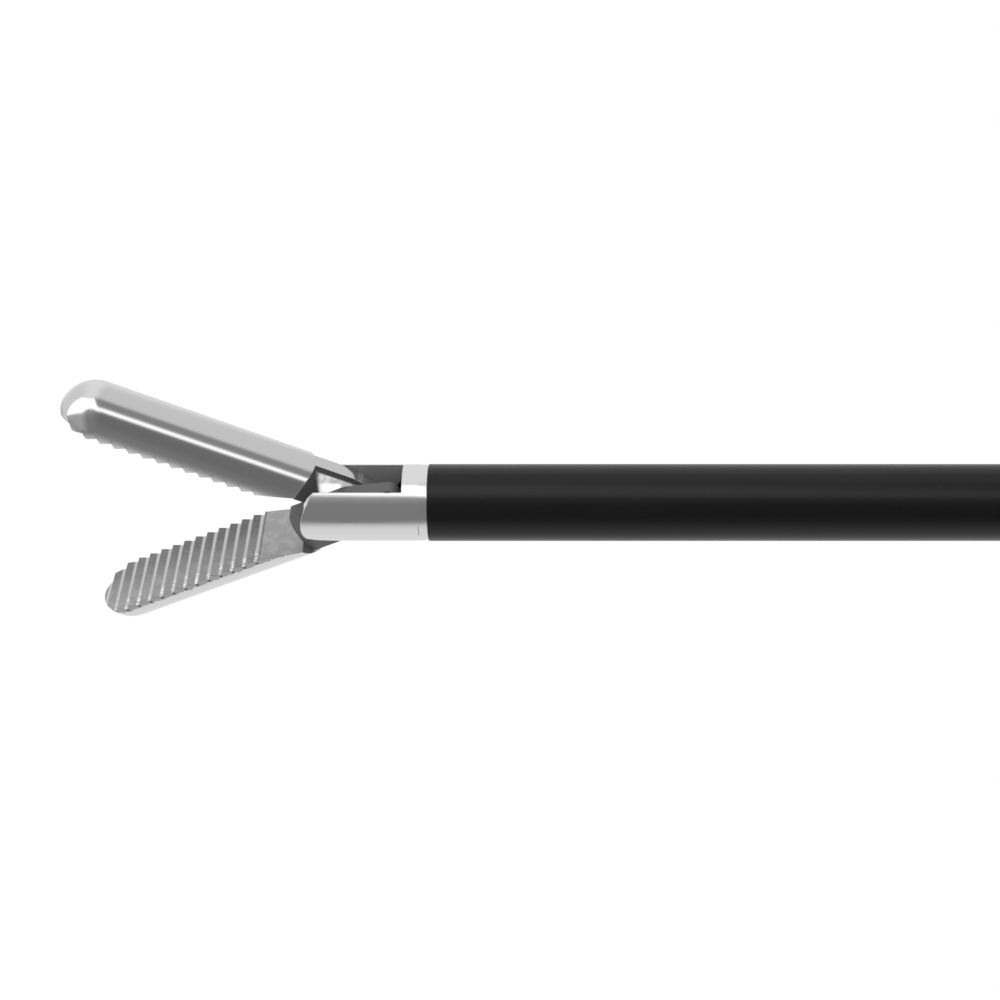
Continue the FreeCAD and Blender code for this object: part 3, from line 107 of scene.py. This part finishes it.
# %% A socket that understands arithmetic
class Link:
    """One output socket. Arithmetic on it adds Math nodes to the same tree."""

    def __init__(self, tree, socket):
        self.tree = tree
        self.socket = socket

    def math(self, operation, *values):
        """Adds one Math node whose first value is this socket."""
        made = self.tree.nodes.new("ShaderNodeMath")
        made.operation = operation
        for socket, value in zip(made.inputs, (self,) + values):
            feed(self.tree, socket, value)
        return Link(self.tree, made.outputs[0])

    def __add__(self, other):
        return self.math("ADD", other)

    def __radd__(self, other):
        return self.math("ADD", other)

    def __sub__(self, other):
        return self.math("SUBTRACT", other)

    def __rsub__(self, other):
        return self.__mul__(-1.0).math("ADD", other)

    def __mul__(self, other):
        return self.math("MULTIPLY", other)

    def __rmul__(self, other):
        return self.math("MULTIPLY", other)

    def __truediv__(self, other):
        return self.math("DIVIDE", other)

    def clamp(self):
        """Holds the value between 0 and 1."""
        held = self.math("MAXIMUM", 0.0)
        return held.math("MINIMUM", 1.0)

    def ramp(self, low, high, bottom=0.0, top=1.0):
        """A smooth step: bottom below low, top above high, and an S-curve between them."""
        made = self.tree.nodes.new("ShaderNodeMapRange")
        made.interpolation_type = "SMOOTHSTEP"
        names = ("From Min", "From Max", "To Min", "To Max")
        for name, number in zip(names, (low, high, bottom, top)):
            made.inputs[name].default_value = number
        feed(self.tree, made.inputs["Value"], self)
        return Link(self.tree, made.outputs["Result"])


def feed(tree, socket, value):
    """Links a Link to a socket, or writes a plain value into it."""
    if isinstance(value, Link):
        tree.links.new(value.socket, socket)
    else:
        socket.default_value = value


def add_node(tree, kind, settings=None, **inputs):
    """Adds any node: settings first, then inputs, whose spaces are written as underscores.

    The outputs come back as a dictionary of links by name.
    """
    made = tree.nodes.new("ShaderNode" + kind)
    for name, setting in (settings or {}).items():
        setattr(made, name, setting)
    for name, value in inputs.items():
        wanted = name.replace("_", " ")
        socket = next(s for s in made.inputs if s.name == wanted and s.enabled)
        feed(tree, socket, value)
    return {output.name: Link(tree, output) for output in made.outputs if output.enabled}


# %% [markdown]
# ## Helpers for materials
#
# Every pattern reads Object coordinates in millimetres, so a scratch or a grain keeps its real
# size and stays on the piece when it moves. Noise has no seam and needs no picture, which is why
# the tones and the skins below are worked out and not painted.


# %% Material helpers
def new_material(name):
    """An empty material with one Principled shader, its tree and that shader."""
    material = bpy.data.materials.new(name)
    material.use_nodes = True
    tree = material.node_tree
    tree.nodes.clear()
    output = tree.nodes.new("ShaderNodeOutputMaterial")
    shader = tree.nodes.new("ShaderNodeBsdfPrincipled")
    tree.links.new(shader.outputs[0], output.inputs["Surface"])
    return material, tree, shader


def millimetres(tree, stretch=(1.0, 1.0, 1.0)):
    """Object coordinates in millimetres, stretched by one Mapping node."""
    place = add_node(tree, "TexCoord")["Object"]
    scale = tuple(s / MM for s in stretch)
    return add_node(tree, "Mapping", {"vector_type": "POINT"}, Vector=place, Scale=scale)["Vector"]


def noise(tree, vector, scale, detail=3.0, roughness=0.55):
    return add_node(tree, "TexNoise", None, Vector=vector, Scale=scale, Detail=detail,
                    Roughness=roughness)["Fac"]


def grey(level):
    return (level, level, level)


def toned(tone, factor):
    """The same colour, darker or lighter, with no channel above 1."""
    return tuple(min(1.0, channel * factor) for channel in tone)


def mix_colour(tree, factor, first, second):
    """Blends two colours, which are (r, g, b) triples or links."""
    made = tree.nodes.new("ShaderNodeMix")
    made.data_type = "RGBA"
    feed(tree, made.inputs[0], factor)
    for socket, colour in ((made.inputs[6], first), (made.inputs[7], second)):
        feed(tree, socket, colour if isinstance(colour, Link) else (*colour, 1.0))
    return Link(tree, made.outputs[2])


def finish_shader(tree, shader, colour, roughness, height=None, depth=0.0, normal=None, **plain):
    """Feeds the sockets that vary, and writes the rest as plain numbers."""
    feed(tree, shader.inputs["Base Color"], colour)
    feed(tree, shader.inputs["Roughness"], roughness)
    if height is not None:
        bump = {"Height": height, "Distance": depth, "Strength": 1.0}
        if normal is not None:
            bump["Normal"] = normal
        normal = add_node(tree, "Bump", None, **bump)["Normal"]
    if normal is not None:
        feed(tree, shader.inputs["Normal"], normal)
    for name, value in plain.items():
        shader.inputs[name.replace("_", " ")].default_value = value


# %% [markdown]
# ## Metals
#
# Ground and polished metal isn't evenly bright: the wheel leaves fine lines, and the tone drifts a
# little over the length of a piece. The lines are noise squeezed along one axis, because a real
# wheel draws every scratch the same way. `steel` serves the brass and the bronze too, with their
# own tones.


# %% Ground and polished metal
def steel(name, tone, roughness, lines=0.0, edge=0.05, along=(1.0, 1.0, 1.0)):
    """Ground and polished metal.

    tone is the metal's colour, lines the depth of the polishing lines and edge the radius of its
    worn edges, both in millimetres. along squeezes the pattern so that the lines run the way the
    wheel went.
    """
    material, tree, shader = new_material(name)
    wide = millimetres(tree)
    fine = millimetres(tree, along)
    cloud = noise(tree, wide, 0.35)
    streak = noise(tree, fine, 6.0, 4.0, 0.7)
    speck = noise(tree, wide, 14.0, 2.0)
    value = (cloud - 0.5) * 0.10 + (streak - 0.5) * 0.06
    colour = mix_colour(tree, (value + 0.5).clamp(), toned(tone, 0.86), toned(tone, 1.12))
    rough = (roughness + (streak - 0.5) * 0.10 + (speck - 0.5) * 0.06).clamp()
    rounded = None
    if edge > 0.0:
        rounded = add_node(tree, "Bevel", {"samples": 6}, Radius=edge * MM)["Normal"]
    finish_shader(tree, shader, colour, rough, streak, lines * MM, rounded, Metallic=1.0)
    return material


# %% [markdown]
# ## Plastics
#
# A moulded piece has the fine skin of its mould, and an extruded sleeve has faint flow marks along
# its length. The skin is one fine noise that feeds the colour, the roughness and the bump
# together, so that a dull spot is also a low one, as on the real thing.


# %% Moulded and extruded plastic
def plastic(name, tone, roughness, grain, depth, streaks=0.0, edge=0.0, sheen=0.5):
    """Moulded or extruded plastic: a fine skin, faint flow marks and softened edges.

    grain is the skin's pattern scale, depth its height in millimetres, streaks the strength of the
    flow marks, edge the edges' radius in millimetres, and sheen the level of the surface gloss.
    """
    material, tree, shader = new_material(name)
    wide = millimetres(tree)
    cloud = noise(tree, wide, 0.12, 3.0)
    skin = noise(tree, wide, grain, 2.0, 0.6)
    flow = noise(tree, millimetres(tree, (0.05, 1.0, 1.0)), 2.6, 3.0, 0.6)
    value = (cloud - 0.5) * 0.5 + (skin - 0.5) * 0.3 + (flow - 0.5) * streaks
    colour = mix_colour(tree, (value + 0.5).clamp(), toned(tone, 0.72), toned(tone, 1.35))
    rough = (roughness + (cloud - 0.5) * 0.10 + (skin - 0.5) * 0.14).clamp()
    normal = None
    if edge > 0.0:
        normal = add_node(tree, "Bevel", {"samples": 4}, Radius=edge * MM)["Normal"]
    finish_shader(tree, shader, colour, rough, skin, depth * MM, normal, Specular_IOR_Level=sheen)
    return material


# %% [markdown]
# ## The jaws' finish
#
# One jaw has several finishes. Its round back is mirror-polished. Its biting face is blasted, so
# that it doesn't dazzle and holds tissue. The steep side of each tooth and the root below it carry
# a painted highlight, with painted glints near the near edge, and the biting face has painted
# shade that darkens it towards the far side and towards the pivot. The flats near the pivot stay
# dull, because no wheel reaches them, and carry painted shade. The masks are distances measured in
# the jaw's own direction from the pivot, so they fit both jaws: the lower one is the upper one
# turned over, and the height above the middle plane is the same for both. Only the teeth differ:
# the upper row stands half a pitch further back, so that the rows mesh.

# %% Jaw finish
joint = {j["name"]: j for j in frame["joints"]}["upper_jaw_pivot"]
PIVOT = joint["pos_m"][0] / MM
SWING = math.radians(joint["range_deg"][1])
# In millimetres: the radius of the shoulder round the fork's arms, the distance from the pivot to
# the lower row of teeth, the teeth's pitch and their depth
SHOULDER = 4.0
ROW_END = 6.742
TOOTH_PITCH = 0.92
TOOTH_DEPTH = 0.28
HEEL_SLOPE = math.tan(math.radians(16.0))
WORN_EDGE = 0.05
print("jaws: pivot at", PIVOT, "mm, swing", round(math.degrees(SWING), 1), "degrees")


def jaw_finish(name, tone, roughness):
    """The finishes of one jaw, laid out from its pivot.

    ahead and height are the distances in front of the pivot and from the middle plane. along and
    above are the same point turned by the jaw's swing: along its biting face, and out from it.
    """
    material, tree, shader = new_material(name)
    wide = millimetres(tree)
    place = add_node(tree, "SeparateXYZ", None, Vector=wide)
    normal = add_node(tree, "SeparateXYZ", None, Vector=add_node(tree, "TexCoord")["Normal"])
    height = place["Z"].math("ABSOLUTE")
    upper = place["Z"].ramp(-0.1, 0.1)
    near = place["Y"] * -1.0
    ahead = PIVOT - place["X"]
    along = ahead * math.cos(SWING) + height * math.sin(SWING)
    above = height * math.cos(SWING) - ahead * math.sin(SWING)
    reach = (ahead * ahead + height * height).math("SQRT")
    sideways = normal["Y"].math("ABSOLUTE")
    across = sideways.ramp(0.2, 0.5)
    # The biting face, its teeth and the painted highlight on the steep side of each
    row = along - ROW_END + upper * (TOOTH_PITCH / 2)
    heel = (row * -1.0).math("MAXIMUM", 0.0) * HEEL_SLOPE
    face = (1.0 - (above - heel).ramp(TOOTH_DEPTH - 0.03, TOOTH_DEPTH + 0.03)) * (1.0 - across)
    face = face * reach.ramp(SHOULDER + 0.02, SHOULDER + 0.08)
    phase = (row / TOOTH_PITCH).math("FRACT")
    toothed = row.ramp(-0.06, -0.02)
    steep_side_highlight = (1.0 - phase.ramp(0.44, 0.56)) * toothed
    valley = (phase - 0.36).math("ABSOLUTE")
    flank = across * near.ramp(0.0, 0.5) * (1.0 - upper * 0.8) * along.ramp(4.2, 4.6)
    broken = noise(tree, wide, 3.5, 3.0, 0.6)
    # A darker, rougher band along the near flank under the teeth, mostly on the lower jaw
    near_flank_band = flank * (1.0 - (above + (broken - 0.5) * 0.5).ramp(0.44, 0.52))
    # Painted shade where each tooth gap meets the near flank
    tooth_gap_shade = (1.0 - valley.ramp(0.05, 0.16)) * toothed * (1.0 - above.ramp(0.36, 0.48)) * flank
    # Near the pivot: dull flats in painted shade, the plate seen through the fork's slot with a painted
    # highlight, and the tail behind in darker painted shade
    hub = 1.0 - reach.ramp(SHOULDER + 0.03, SHOULDER + 0.09)
    inner = 1.0 - above.ramp(1.5, 1.68)
    window = sideways.ramp(0.5, 0.8) * (1.0 - above.ramp(1.15, 1.35)) * upper
    window = window * (1.0 - near.ramp(-0.3, -0.2)) * ahead.ramp(-1.4, 0.2)
    window = window * (1.0 - ahead.ramp(2.0, 2.2))
    outside = (1.0 - sideways.ramp(0.5, 0.8)) * (1.0 - inner)
    dull_and_shaded = hub * (1.0 - outside) * (1.0 - window)
    tail = hub * (1.0 - ahead.ramp(0.4, 0.9)) * near.ramp(0.2, 0.4)
    dull_and_shaded = (dull_and_shaded + tail).clamp()
    # Painted shade: grey on the dull flats, darker on the tail
    painted_hub_shade = mix_colour(tree, tail, grey(0.17), grey(0.10))
    # Tones
    cloud = noise(tree, wide, 0.35)
    streak = noise(tree, millimetres(tree, (0.12, 1.0, 1.0)), 6.0, 4.0, 0.7)
    grit = noise(tree, wide, 9.0, 4.0, 0.7)
    polish = ((cloud - 0.5) * 0.10 + (streak - 0.5) * 0.05 + 0.5).clamp()
    bright = mix_colour(tree, polish, toned(tone, 0.88), toned(tone, 1.10))
    # Painted shade on the faces turned towards the tip
    painted_tip_shade = (normal["X"] * -1.0).ramp(0.66, 0.92)
    bright = mix_colour(tree, painted_tip_shade * 0.7, bright, grey(0.26))
    bright = mix_colour(tree, near_flank_band * 0.85, bright, grey(0.34))
    bright = mix_colour(tree, tooth_gap_shade * 0.8, bright, grey(0.06))
    # Painted shade on the biting face: darker towards the far side and towards the pivot
    painted_face_shade = (near.ramp(-1.8, 1.6) * 0.65 + along.ramp(7.0, 19.0) * 0.35).clamp()
    facet = mix_colour(tree, painted_face_shade, grey(0.13), grey(0.44))
    facet = mix_colour(tree, toothed, grey(0.48), facet)
    mottle = noise(tree, wide, 1.6, 4.0, 0.6)
    facet = mix_colour(tree, mottle.ramp(0.35, 0.6) * 0.3, facet, grey(0.16))
    facet = mix_colour(tree, grit.ramp(0.35, 0.75) * 0.3, facet, grey(0.55))
    # Painted highlight on the steep side of each tooth
    facet = mix_colour(tree, steep_side_highlight, facet, grey(0.62))
    # Painted glints on those highlights, close to the near edge
    painted_glint = steep_side_highlight * near.ramp(0.7, 1.6) * noise(tree, wide, 5.0, 2.0).ramp(0.5, 0.56)
    facet = mix_colour(tree, painted_glint, facet, grey(1.0))
    colour = mix_colour(tree, face, bright, facet)
    colour = mix_colour(tree, dull_and_shaded, colour, painted_hub_shade)
    # Painted highlight on the plate seen through the slot, with lighter patches
    plate_highlight_share = (1.0 - height.ramp(1.2, 1.45)) * ahead.ramp(0.45, 0.75)
    plate_highlight_share = plate_highlight_share + (1.0 - plate_highlight_share) * noise(tree, wide, 1.1, 2.0).ramp(0.48, 0.62) * 0.5
    painted_plate_highlight = mix_colour(tree, plate_highlight_share, grey(0.42), grey(0.95))
    colour = mix_colour(tree, window, colour, painted_plate_highlight)
    rough = roughness + face * 0.22 + dull_and_shaded * 0.25 + near_flank_band * 0.2
    rough = rough + (grit - 0.5) * (face * 0.12 + 0.03)
    rounded = add_node(tree, "Bevel", {"samples": 6}, Radius=WORN_EDGE * MM)["Normal"]
    # The plate seen through the slot is shaded as if it leaned towards the strip light
    leaning = add_node(tree, "CombineXYZ", None, X=0.06, Y=-0.50, Z=0.86)["Vector"]
    rounded = mix_colour(tree, window, rounded, leaning)
    grain = grit * face + streak * 0.06
    finish_shader(tree, shader, colour, rough.clamp(), grain, 0.012 * MM, rounded)
    feed(tree, shader.inputs["Metallic"], (1.0 - dull_and_shaded - window * 0.4).clamp())
    return material


# %% [markdown]
# ## The fork's finish
#
# The fork is turned and polished like the jaws. Its slot is cut afterwards and stays matt and
# darker. The flush pivot pin is polished together with the arms, so no ring shows round it. A
# short dark tick marks the near arm, close to the sleeve.


# %% Fork finish
SLOT_HALF_WIDTH = 1.31
ARM_EDGE = 0.12
TICK_X, TICK_Z, TICK_HALF_LENGTH = -0.60, -0.21, 0.42


def fork_finish(name, tone, roughness):
    """Polished arms, a matt slot and the tick. reach is the distance from the jaws' pivot."""
    material, tree, shader = new_material(name)
    wide = millimetres(tree)
    place = add_node(tree, "SeparateXYZ", None, Vector=wide)
    normal = add_node(tree, "SeparateXYZ", None, Vector=add_node(tree, "TexCoord")["Normal"])
    flat = (normal["Y"].math("ABSOLUTE").ramp(0.8, 0.95) + (normal["X"] * -1.0).ramp(0.8, 0.95))
    between = place["Y"].math("ABSOLUTE")
    slot = flat.clamp() * (1.0 - between.ramp(SLOT_HALF_WIDTH, SLOT_HALF_WIDTH + 0.05))
    tick = 1.0 - (place["X"] - TICK_X).math("ABSOLUTE").ramp(0.02, 0.05)
    ends = (place["Z"] - TICK_Z).math("ABSOLUTE")
    tick = tick * (1.0 - ends.ramp(TICK_HALF_LENGTH - 0.04, TICK_HALF_LENGTH + 0.04))
    tick = tick * (1.0 - place["Y"].ramp(-0.1, 0.0))
    ahead = PIVOT - place["X"]
    reach = (ahead * ahead + place["Z"] * place["Z"]).math("SQRT")
    streak = noise(tree, millimetres(tree, (0.1, 1.0, 1.0)), 6.0, 4.0, 0.7)
    cloud = noise(tree, wide, 0.35)
    polish = ((cloud - 0.5) * 0.10 + (streak - 0.5) * 0.06 + 0.5).clamp()
    colour = mix_colour(tree, polish, toned(tone, 0.88), toned(tone, 1.10))
    colour = mix_colour(tree, tick * 0.6, colour, grey(0.12))
    colour = mix_colour(tree, slot, colour, grey(0.36))
    rough = roughness + (streak - 0.5) * 0.08 + slot * 0.4
    rounded = add_node(tree, "Bevel", {"samples": 6}, Radius=ARM_EDGE * MM)["Normal"]
    unrounded = add_node(tree, "NewGeometry")["Normal"]
    rounded = mix_colour(tree, reach.ramp(0.7, 0.8), unrounded, rounded)
    finish_shader(tree, shader, colour, rough.clamp(), streak, 0.0004 * MM, rounded)
    feed(tree, shader.inputs["Metallic"], 1.0 - slot)
    return material


# %% [markdown]
# ## Finishes
#
# The jaws and the fork are polished stainless steel, bright and nearly mirror-like along their
# length. The shaft's insulation is a satin black sleeve of extruded plastic. The handle's shells
# are moulded, with a fine spark-eroded skin.

# %% Finishes
LENGTHWISE = (0.1, 1.0, 1.0)
ROUND_THE_TUBE = (1.0, 0.2, 0.2)
FINISHES = {
    "jaw_steel": jaw_finish("jaw_steel", grey(0.74), 0.15),
    "fork_steel": fork_finish("fork_steel", grey(0.76), 0.15),
    "pin_steel": steel("pin_steel", grey(0.76), 0.15, 0.0004, 0.0, LENGTHWISE),
    "tube_steel": steel("tube_steel", (0.70, 0.70, 0.71), 0.2, 0.0005, 0.05, ROUND_THE_TUBE),
    "rod_steel": steel("rod_steel", (0.66, 0.66, 0.67), 0.2, 0.0005, 0.03, LENGTHWISE),
    "screw_steel": steel("screw_steel", (0.62, 0.62, 0.63), 0.26, 0.0006, 0.05),
    "spring_steel": steel("spring_steel", (0.56, 0.56, 0.57), 0.3, 0.0006, 0.02),
    "rack_steel": steel("rack_steel", (0.64, 0.64, 0.65), 0.26, 0.001, 0.08),
    "post_metal": steel("post_metal", (0.78, 0.78, 0.77), 0.14, 0.0003, 0.1),
    "port_metal": steel("port_metal", (0.75, 0.75, 0.76), 0.18, 0.0004, 0.1),
    "spring_brass": steel("spring_brass", (0.80, 0.60, 0.28), 0.28, 0.0006, 0.02),
    "bearing_bronze": steel("bearing_bronze", (0.55, 0.36, 0.18), 0.36, 0.001, 0.05),
    "insulation": plastic("insulation", (0.005, 0.005, 0.0052), 0.32, 5.0, 0.001,
                          streaks=0.5, sheen=0.3),
    "bush_plastic": plastic("bush_plastic", (0.80, 0.79, 0.75), 0.42, 4.0, 0.002),
    "knob_plastic": plastic("knob_plastic", (0.024, 0.024, 0.026), 0.42, 7.0, 0.006, edge=0.5),
    "handle_plastic": plastic("handle_plastic", (0.020, 0.020, 0.022), 0.46, 6.0, 0.010,
                              edge=1.2),
    "seal_rubber": plastic("seal_rubber", grey(0.018), 0.6, 8.0, 0.003),
    "insulator_plastic": plastic("insulator_plastic", (0.05, 0.05, 0.055), 0.38, 8.0, 0.004,
                                 edge=0.3),
}

slots = {part["node"]: part["material_slot"] for part in frame["record"]["subparts"]}
for node_name, node in frame["nodes"].items():
    node.data.materials.clear()
    node.data.materials.append(FINISHES[slots[node_name]])
print("finishes:", len(FINISHES), "for", len(slots), "pieces")

# %% [markdown]
# ## Moulded edges
#
# A mould has no sharp corner: plastic flows round every edge, and the fingers of a surgeon feel
# it. The engineering solids have plain chamfers there. A Bevel modifier rounds them, but it needs
# whole faces, and a node from the engineering file is loose triangles. So a copy is merged and its
# flat faces are dissolved first, and the copy then stands for the node.


# %% Rounded copies of the moulded pieces
MERGE_DISTANCE = 0.002 * MM
FLAT_WITHIN = math.radians(1.0)
SHARP_FROM = math.radians(25.0)


def round_copy(node_name, body, width):
    """Merges a copy of a node, dissolves its flat faces and rounds its sharp edges by width mm."""
    source = frame["nodes"][node_name]
    mesh = source.data.copy()
    mesh.name = node_name + "_moulded"
    work = bmesh.new()
    work.from_mesh(mesh)
    bmesh.ops.remove_doubles(work, verts=work.verts, dist=MERGE_DISTANCE)
    bmesh.ops.dissolve_limit(work, angle_limit=FLAT_WITHIN, verts=work.verts, edges=work.edges)
    for face in work.faces:
        face.smooth = True
    work.to_mesh(mesh)
    work.free()
    piece = bpy.data.objects.new(node_name + "_moulded", mesh)
    bpy.context.scene.collection.objects.link(piece)
    bevel = piece.modifiers.new("round", "BEVEL")
    bevel.width = width * MM
    bevel.segments = 3
    bevel.limit_method = "ANGLE"
    bevel.angle_limit = SHARP_FROM
    bevel.use_clamp_overlap = True
    bevel.harden_normals = True
    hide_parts(node_name)
    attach(piece, body)
    depsgraph = bpy.context.evaluated_depsgraph_get()
    faces = len(piece.evaluated_get(depsgraph).data.polygons)
    print(node_name, "rounded:", len(mesh.polygons), "faces become", faces)


# Each moulded piece, the body it rides on and the radius of its edges in millimetres
MOULDED = (("left_shell", "handle", 0.5), ("right_shell", "handle", 0.5),
           ("thumb_lever", "lever", 0.5), ("release_trigger", "trigger", 0.35),
           ("rotation_knob", "shaft", 0.4), ("post_insulator", "handle", 0.25))
for node_name, body, width in MOULDED:
    round_copy(node_name, body, width)

# %% [markdown]
# ## Light
#
# Polished metal is only as good as what it reflects. The studio has a long strip light overhead
# and a pale wall behind, and is dim in front: that is what draws the white line and the dark band
# along each jaw. The world's colour depends on the direction of the ray alone. The camera itself
# sees plain white.

# %% World
STRIP_LEVEL = 1.5
BETWEEN_LEVEL = 0.10
GLOW_LEVEL = 0.12

world = bpy.data.worlds.new("studio")
bpy.context.scene.world = world
world.use_nodes = True
sky = world.node_tree
sky.nodes.clear()
direction = add_node(sky, "TexCoord")["Generated"]
xyz = add_node(sky, "SeparateXYZ", None, Vector=direction)
# Degrees from straight up, positive towards the front; then how far the ray leans along the shaft
tilt = (xyz["Y"] * -1.0).math("ARCTAN2", xyz["Z"]) * (180.0 / math.pi)
rearward = xyz["X"].ramp(0.0, 0.32)
tipward = (xyz["X"] * -1.0).ramp(0.2, 0.6)
front = 0.24 - rearward * 0.06 + tipward * 0.2
back = 0.92 - rearward * 0.20 - tipward * 0.14
behind = 1.0 - tilt.ramp(-16.0, -2.0)
strip_from = (tilt - rearward * 29.0 + tipward * 8.0).ramp(-12.0, -2.0)
strip_to = 1.0 - (tilt - rearward * 7.0 - tipward * 12.0).ramp(23.0, 33.0)
glow_after = (1.0 - tilt.ramp(28.0, 56.0)) * (1.0 - rearward)
studio = front + (back - front) * behind + strip_from * strip_to * (STRIP_LEVEL - front)
studio = studio + (1.0 - behind) * (1.0 - strip_from) * BETWEEN_LEVEL
studio = studio + glow_after * strip_from * GLOW_LEVEL
seen = add_node(sky, "LightPath")["Is Camera Ray"]
shade = add_node(sky, "CombineColor", None, Red=studio, Green=studio, Blue=studio)["Color"]
colour = mix_colour(sky, seen, shade, grey(1.0))
background = add_node(sky, "Background", None, Color=colour, Strength=1.0)["Background"]
world_output = sky.nodes.new("ShaderNodeOutputWorld")
sky.links.new(background.socket, world_output.inputs["Surface"])
print("world: strip light at level", STRIP_LEVEL)

# %% [markdown]
# ## Floor
#
# The instrument stands over a pale floor. The thumb ring sinks when the lever shuts, so the floor
# lies low enough to leave it room. The camera and the metal see the floor white, which Light
# Path's ray masks give, and a tenth of the plain paper under it keeps the shadow. In the metal the
# floor darkens towards the front, as the edge of a real table would.

# %% Floor
LEVER_ROOM = 12.5 * MM
FLOOR_HALF = 3.0
FLOOR_FRONT = -0.45
FLOOR_GLOW = 1.04
WHITE_SHARE = 0.9
WHITE = (1.0, 1.0, 1.0, 1.0)

floor_z = float(cad_box[0][2]) - LEVER_ROOM
floor_mesh = bpy.data.meshes.new("floor")
floor_mesh.from_pydata([(-FLOOR_HALF, FLOOR_FRONT, floor_z), (FLOOR_HALF, FLOOR_FRONT, floor_z),
                        (FLOOR_HALF, FLOOR_HALF, floor_z), (-FLOOR_HALF, FLOOR_HALF, floor_z)],
                       [], [(0, 1, 2, 3)])
floor = bpy.data.objects.new("floor", floor_mesh)
bpy.context.scene.collection.objects.link(floor)

paper, tree, shader = new_material("pale_floor")
shader.inputs["Base Color"].default_value = (*grey(0.86), 1.0)
shader.inputs["Roughness"].default_value = 0.9
rays = add_node(tree, "LightPath")
sees_white = rays["Is Camera Ray"] + rays["Is Glossy Ray"] + rays["Is Transmission Ray"]
spot = add_node(tree, "SeparateXYZ", None, Vector=add_node(tree, "TexCoord")["Object"])
mirrored = spot["Y"].ramp(-0.36, -0.07, 0.24, 0.84)
level = mirrored + (1.0 - mirrored) * (1.0 - rays["Is Glossy Ray"])
glow = add_node(tree, "Emission", None, Color=WHITE, Strength=level * FLOOR_GLOW)["Emission"]
blend = tree.nodes.new("ShaderNodeMixShader")
feed(tree, blend.inputs[0], sees_white.clamp() * WHITE_SHARE)
tree.links.new(shader.outputs[0], blend.inputs[1])
tree.links.new(glow.socket, blend.inputs[2])
tree.links.new(blend.outputs[0], tree.nodes["Material Output"].inputs["Surface"])
floor.data.materials.append(paper)
print("floor at", round(floor_z, 4))

# %% [markdown]
# ## Strip lamp
#
# One long, soft lamp lights the matt plastic and lays the shadow. It doesn't show in the metal,
# because the world draws its own strip there, with the soft ends that a real softbox has.

# %% Strip lamp
LAMP_LENGTH = 2.4
LAMP_WIDTH = 0.36
LAMP_POWER = 2.4
LAMP_DISTANCE = 0.7
LAMP_LEAN = math.radians(14.0)
LAMP_X = 0.15

strip_data = bpy.data.lights.new("strip", "AREA")
strip_data.shape = "RECTANGLE"
strip_data.size = LAMP_LENGTH
strip_data.size_y = LAMP_WIDTH
strip_data.energy = LAMP_POWER
strip = bpy.data.objects.new("strip", strip_data)
strip.location = (LAMP_X, -LAMP_DISTANCE * math.sin(LAMP_LEAN),
                  LAMP_DISTANCE * math.cos(LAMP_LEAN))
strip.rotation_euler = (-LAMP_LEAN, 0.0, 0.0)
strip.visible_glossy = False
bpy.context.scene.collection.objects.link(strip)
print("lamp:", LAMP_POWER, "W over", LAMP_LENGTH, "by", LAMP_WIDTH, "m")
